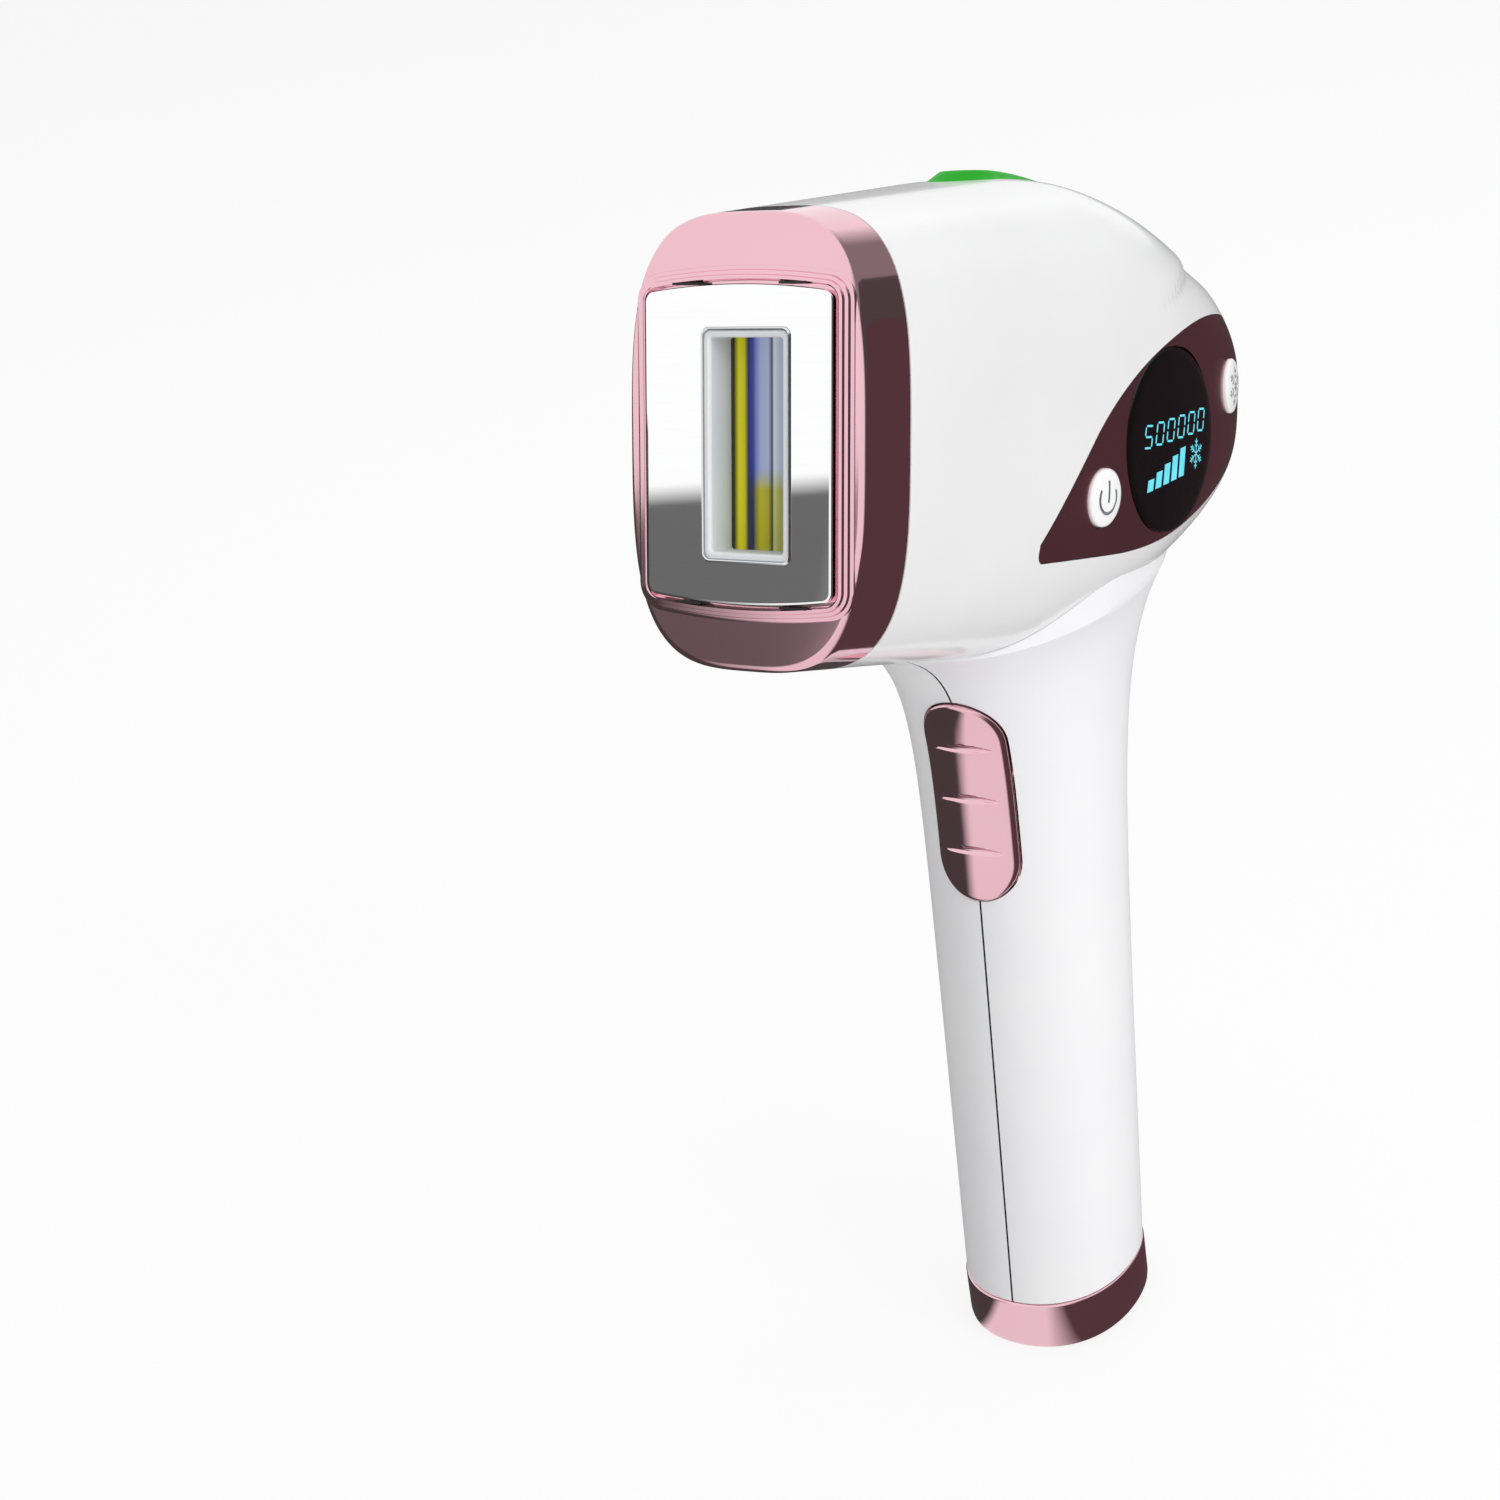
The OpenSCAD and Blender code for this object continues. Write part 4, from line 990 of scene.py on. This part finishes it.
# Polished stainless steel: the polishing leaves hairlines far too fine to see singly
drawn = add(tree, "Mapping", Vector=place, Scale=(per_metre(16.7), per_metre(16.7), per_metre(0.4)))
lines = add(tree, "TexNoise", Vector=drawn.outputs["Vector"], Scale=1.0, Detail=2.0).outputs["Fac"]
haze = add(tree, "MapRange", Value=lines, To_Min=0.01, To_Max=0.025)
bright = add(tree, "ValToRGB", stops=[(0.2, "#fcfcfd"), (0.8, "#ffffff")], Fac=lines)
plug(shader, Base_Color=bright.outputs["Color"], Roughness=haze.outputs["Result"], Metallic=1.0)

plate = lofted([plate_points(d, y) for d, y in
                ((-1.75, 4.8), (-1.75, 2.42), (0.0, 2.38), (0.0, 0.4), (-0.12, 0.12), (-0.4, 0.0))],
               "cooling_plate_mirror", mirror)
carve(plate, [lofted([window_points(frame_t + trim_t + 0.02, y) for y in (-2, 6)])], sharp=15)
place_piece(plate, "lamp_head", "mirror_steel", "cooling_plate")

# %% [markdown]
# ## Flash window
# A chrome line, then a white frame with a bevelled mouth, surround the opening. Both are rings that go round
# their section. The opening's walls are frosted to spread the flash, so the frame's inner faces get a finish
# of their own, rougher and with a greyer white that is painted shade.

# %% Window trim
# Nickel and chrome over brass: neutral and bright, a shade darker than the mirror plate
chrome = moulded("chrome_plated_brass", "#dfe1e3", "#e8e9ea", 0.06, 1.0, 0.01, 1.0)
bm = bmesh.new()
closed_rings(bm, [window_points(frame_t + d, y) for d, y in
                  ((trim_t, 3.8), (trim_t, 0.05), (trim_t - 0.08, -0.2), (trim_t / 2, -0.35), (0.08, -0.25),
                   (0.02, 0.0), (0.02, 3.8 + NUDGE))])
window_trim = finish_piece(bm, "window_trim_chrome", chrome, to_head)
place_piece(window_trim, "lamp_head", "chrome_trim", "window_trim")

# %% Window frame
# Moulded polycarbonate, white and fairly even
white_frame = moulded("white_pc_frame", "#eceef0", "#f1f2f4", 0.35, 0.25, 0.2)
# The same, frosted inside by blasting the mould, so rougher, and with a greyer white: painted shade on the
# walls of the opening
frosted = moulded("frosted_pc_wall_painted_shade", "#d3d6d9", "#dcdfe1", 0.55, 0.12, 0.5)
flange = frame_t + trim_t + 0.8


def is_wall(face):
    """Whether a face of the frame lines the opening."""
    middle = face.calc_center_median()
    return (middle.y > 0.5 and abs(middle.x - window_x) < window_w / 2 + 0.1
            and abs(middle.z) < window_h / 2 + 0.1)


bm = bmesh.new()
closed_rings(bm, [window_points(d, y) for d, y in
                  ((flange, window_d), (flange, 4.83), (frame_t, 4.81), (frame_t, 0.05),
                   (frame_t - 0.12, -0.05), (0.35, -0.07), (0.12, 0.1), (0.0, 0.5), (0.0, window_d - NUDGE))])
# The walls of the opening get the greyer white, painted shade
for face in bm.faces:
    face.material_index = int(is_wall(face))
window_frame = finish_piece(bm, "window_frame_white", white_frame, to_head)
window_frame.data.materials.append(frosted)
place_piece(window_frame, "lamp_head", "white_frame", "window_frame")

# %% [markdown]
# ## Filter glass
# The filter at the bottom of the opening shows the tube and the reflector behind it as yellow and blue
# stripes along the tube, which are painted reflections, and it glows faintly, which is painted light. The
# stripes are a colour ramp over the window's width, and a second ramp takes over in the lower third, where
# the blue turns to yellow. The solid's mesh stays as it is, and only gets this material.

# %% Filter glass
def finish_solid(name, material):
    """Gives a carried-over solid its material."""
    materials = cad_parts[name].data.materials
    materials.clear()
    materials.append(material)


filter_glass, tree, shader, place = new_material("filter_glass_painted_reflections")
# Glass with painted reflections of the tube and the reflector: yellow by one edge of the tube, blue over it,
# and a faint painted glow
half_w = window_w / 2
left_edge = [(0.0, "#3a3c22"), (0.04, "#1a1c0c"), (0.07, "#908e04"), (0.11, "#d2cd08"), (0.19, "#c0ba0a")]
upper_stripes = [(0.22, "#6d6a12"), (0.24, "#141f6c"), (0.31, "#1d2b88"), (0.34, "#5b69b5"),
                 (0.41, "#98a5ce"), (0.52, "#a5b0cc"), (0.56, "#5d6894"), (0.575, "#20242f"),
                 (0.6, "#c9d0dc"), (0.68, "#aab2c4")]
lower_stripes = [(0.22, "#6d6a12"), (0.24, "#10183c"), (0.31, "#1c2550"), (0.34, "#77761a"),
                 (0.41, "#b4b020"), (0.52, "#a8a41c"), (0.56, "#5c5b18"), (0.575, "#20242f"),
                 (0.6, "#b9bd6a"), (0.68, "#9a9c48")]
right_edge = [(1.0, "#7f8bb8")]
change_low, change_high = 153.5, 156.5
upright = add(tree, "Mapping", Vector=place, Rotation=(math.radians(pitch), 0, 0)).outputs["Vector"]
axes = add(tree, "SeparateXYZ", Vector=upright).outputs
across = add(tree, "MapRange", Value=axes["X"], From_Min=(window_x - half_w) * MM,
             From_Max=(window_x + half_w) * MM).outputs["Result"]
height = add(tree, "MapRange", Value=axes["Z"], From_Min=change_low * MM, From_Max=change_high * MM)
upper, lower = (add(tree, "ValToRGB", stops=left_edge + stripes + right_edge, Fac=across).outputs["Color"]
                for stripes in (upper_stripes, lower_stripes))
# The stripes' colour: painted reflections of the tube and the reflector
coat = add(tree, "Mix", {"data_type": "RGBA"}, Factor=height.outputs["Result"], i6=lower, i7=upper).outputs[2]
# The glass glows with that colour though the lamp is not lit: painted light
plug(shader, Base_Color=coat, Emission_Color=coat, Roughness=0.12, IOR=1.52, Emission_Strength=0.22)
finish_solid("filter_glass", filter_glass)
print("stripes across the filter:", len(left_edge + upper_stripes + right_edge))

# %% [markdown]
# ## Finishes of the parts inside
# These carried-over solids keep their shapes. Each gets the finish of the real part, which
# shows when the lamp head is lifted off or a vent is looked through.

# %% Inner finishes
# Moulded in eroded moulds: matt black, and the same in a dark grey for the frames
black_abs = moulded("black_abs", "#101012", "#151517", 0.45, 0.4, 0.2)
grey_abs = moulded("grey_abs", "#4b4c50", "#55565a", 0.5, 0.4, 0.2)
# Epoxy ink over copper and glass cloth: a deep green with a low gloss
solder_mask = moulded("green_solder_mask", "#0e4a25", "#14582e", 0.35, 0.6, 0.1)
# Extruded, left bare: pale grey with a dull shine
aluminium = moulded("extruded_aluminium", "#c4c6c8", "#d0d2d3", 0.35, 0.2, 0.25, 1.0)
# Drawn tube, lightly tarnished: warm brown red
copper = moulded("drawn_copper", "#c77d57", "#d48a63", 0.3, 0.3, 0.1, 1.0)
# Electroplated: a clean yellow with a soft gloss
gold = moulded("gold_plated_brass", "#d9b35c", "#e3c06a", 0.2, 0.3, 0.05, 1.0)
# Drawn and turned: mid grey, fine tool marks in the place of polish
steel = moulded("turned_steel", "#9a9c9e", "#a6a8aa", 0.3, 0.2, 0.2, 1.0)
# Pressed and sintered: chalky off-white
ceramic = moulded("alumina_ceramic", "#e6e6e2", "#ededea", 0.55, 0.15, 0.3)
# Shrunk film: near black with a faint blue, glossy in patches
sleeve = moulded("heat_shrink_sleeve", "#15171f", "#1b1e28", 0.3, 0.8, 0.1)
quartz, tree, shader, place = new_material("clear_quartz")
# Fused quartz, drawn as tube: clear, with faint drawing lines
drawn = add(tree, "Mapping", Vector=place, Scale=(per_metre(1.1), per_metre(1.1), per_metre(50)))
lines = add(tree, "TexNoise", Vector=drawn.outputs["Vector"], Scale=1.0).outputs["Fac"]
relief = add(tree, "Bump", Strength=0.1, Distance=0.01 * MM, Height=lines)
plug(shader, Base_Color=linear("#eef4fa"), Roughness=0.03, IOR=1.46, Transmission_Weight=0.9,
     Normal=relief.outputs["Normal"])

INSIDE = {
    black_abs: ["dc_inlet", "display_module", "power_switch", "cooling_switch", "lamp_socket",
                "contact_block", "fan_frame", "fan_rotor", "trigger_switch", "skin_sensors"],
    grey_abs: ["chassis", "trigger_guide", "lamp_back"],
    solder_mask: ["display_board", "main_board", "charger_board"],
    aluminium: ["heat_sink", "reflector"],
    copper: ["heat_pipes"],
    gold: ["contact_pins"],
    steel: ["trigger_spring", "housing_screws", "lamp_electrodes"],
    ceramic: ["cooling_module"],
    sleeve: ["flash_capacitor"],
    quartz: ["lamp_tube"],
}
for material, names in INSIDE.items():
    for name in names:
        finish_solid(name, material)
print("inner parts with a finish:", sum(len(names) for names in INSIDE.values()))

# %% [markdown]
# ## Floor
# The handset stands on a plain white floor. The camera sees a white floor that takes a soft
# shadow. What gloss and metal mirror is another picture, chosen by the kind of ray: a floor
# that is bright in front of the handset and darker at its sides, as in a photo studio.

# %% Floor
def bearing(tree, way):
    """Turns a direction into a place round the compass, from 0 to 1, with 0.5 at the front."""
    axes = add(tree, "SeparateXYZ", Vector=way).outputs
    forward = add(tree, "Math", {"operation": "MULTIPLY"}, i0=axes["Y"], i1=-1.0).outputs[0]
    angle = add(tree, "Math", {"operation": "ARCTAN2"}, i0=axes["X"], i1=forward).outputs[0]
    return add(tree, "MapRange", Value=angle, From_Min=-math.pi, From_Max=math.pi).outputs["Result"]


floor_r = 10
bm = bmesh.new()
bmesh.ops.create_circle(bm, cap_ends=True, segments=96, radius=floor_r)
mesh = bpy.data.meshes.new("floor")
bm.to_mesh(mesh)
bm.free()
floor = bpy.data.objects.new("floor", mesh)
bpy.context.scene.collection.objects.link(floor)
paper, tree, shader, place = new_material("white_paper_floor")
# Matt background paper: nearly white and very rough
plug(shader, Base_Color=linear("#f7f7f7"), Roughness=0.7)
rays = add(tree, "LightPath").outputs
studio = add(tree, "ValToRGB", Fac=bearing(tree, place), stops=[
    (0.0, "#4a4a4a"), (0.40, "#4a4a4a"), (0.425, "#f4f4f4"), (0.55, "#f4f4f4"), (0.61, "#57474b"),
    (1.0, "#574549")])
mirrored = add(tree, "Emission", Color=studio.outputs["Color"], Strength=1.0).outputs[0]
plain = add(tree, "Emission", Color=(1, 1, 1, 1), Strength=1.0).outputs[0]
bounced = add(tree, "MixShader", i0=0.86, i1=shader.outputs[0], i2=plain).outputs[0]
seen = add(tree, "MixShader", i0=rays["Is Camera Ray"], i1=shader.outputs[0], i2=bounced).outputs[0]
surface = add(tree, "MixShader", i0=rays["Is Glossy Ray"], i1=seen, i2=mirrored).outputs[0]
plug(tree.nodes["Material Output"], Surface=surface)
floor.data.materials.append(paper)
print("floor radius:", floor_r, "m")

# %% [markdown]
# ## World
# The world is white to the camera and soft light to everything else. In gloss and metal it is
# a studio too: a bright front wall with dark ones beside it, a ceiling that begins on a
# slightly tilted line, and a white lamp field at the top. These give the rose coat its bands.

# %% World
ceiling_tilt, ceiling_from, ceiling_to = (-0.185, 0.12, 1.0), 0.171, 0.179
top_from, top_to = 0.45, 0.62
ambient_strength = 0.5
world = bpy.data.worlds.new("studio")
bpy.context.scene.world = world
world.use_nodes = True
tree = world.node_tree
tree.nodes.clear()
rays = add(tree, "LightPath").outputs
way = add(tree, "TexCoord").outputs["Generated"]
tilted = add(tree, "VectorMath", {"operation": "DOT_PRODUCT"}, i0=way, i1=ceiling_tilt).outputs["Value"]
ceiling = add(tree, "MapRange", Value=tilted, From_Min=ceiling_from, From_Max=ceiling_to).outputs["Result"]
upwards = add(tree, "SeparateXYZ", Vector=way).outputs["Z"]
top = add(tree, "MapRange", Value=upwards, From_Min=top_from, From_Max=top_to).outputs["Result"]
turn = bearing(tree, way)
walls = add(tree, "ValToRGB", Fac=turn, stops=[
    (0.0, "#5a5a5a"), (0.4165, "#686868"), (0.4205, "#fafafa"), (0.62, "#fafafa"), (0.68, "#505050"),
    (1.0, "#505050")]).outputs["Color"]
overhead = add(tree, "ValToRGB", Fac=turn, stops=[
    (0.0, "#ffffff"), (0.62, "#ffffff"), (0.70, "#8a8a8a"), (0.95, "#8a8a8a"),
    (1.0, "#ffffff")]).outputs["Color"]
room = add(tree, "Mix", {"data_type": "RGBA"}, Factor=ceiling, i6=walls, i7=overhead).outputs[2]
sky = add(tree, "Mix", {"data_type": "RGBA"}, Factor=top, i6=room, i7=(1, 1, 1, 1)).outputs[2]
mirrored = add(tree, "Background", Color=sky, Strength=1.0).outputs[0]
ambient = add(tree, "Background", Color=(1, 1, 1, 1), Strength=ambient_strength).outputs[0]
white = add(tree, "Background", Color=(1, 1, 1, 1), Strength=1.0).outputs[0]
lit = add(tree, "MixShader", i0=rays["Is Glossy Ray"], i1=ambient, i2=mirrored).outputs[0]
surface = add(tree, "MixShader", i0=rays["Is Camera Ray"], i1=lit, i2=white).outputs[0]
add(tree, "OutputWorld", Surface=surface)
print("ambient light:", ambient_strength)

# %% [markdown]
# ## Lamps
# Two large soft boxes model the form, one from the right for the head's side and one above
# for the crown. They are left out of reflections, where the studio stands in for them.

# %% Lamps
def soft_lamp(name, at, to, size, watts):
    """A square soft box that points from one place to another."""
    lamp = bpy.data.lights.new(name, "AREA")
    lamp.shape, lamp.size, lamp.energy = "SQUARE", size, watts
    box = bpy.data.objects.new(name, lamp)
    box.visible_glossy = False
    bpy.context.scene.collection.objects.link(box)
    box.location = at
    box.rotation_euler = (Vector(to) - Vector(at)).to_track_quat("-Z", "Y").to_euler()
    print(name, "lamp:", watts, "W")


soft_lamp("key", (1.5, -0.45, 0.8), (0, 0, 0.1), 1.0, 13)
soft_lamp("top", (0.1, 0.3, 1.6), (0, 0, 0.12), 1.2, 9)
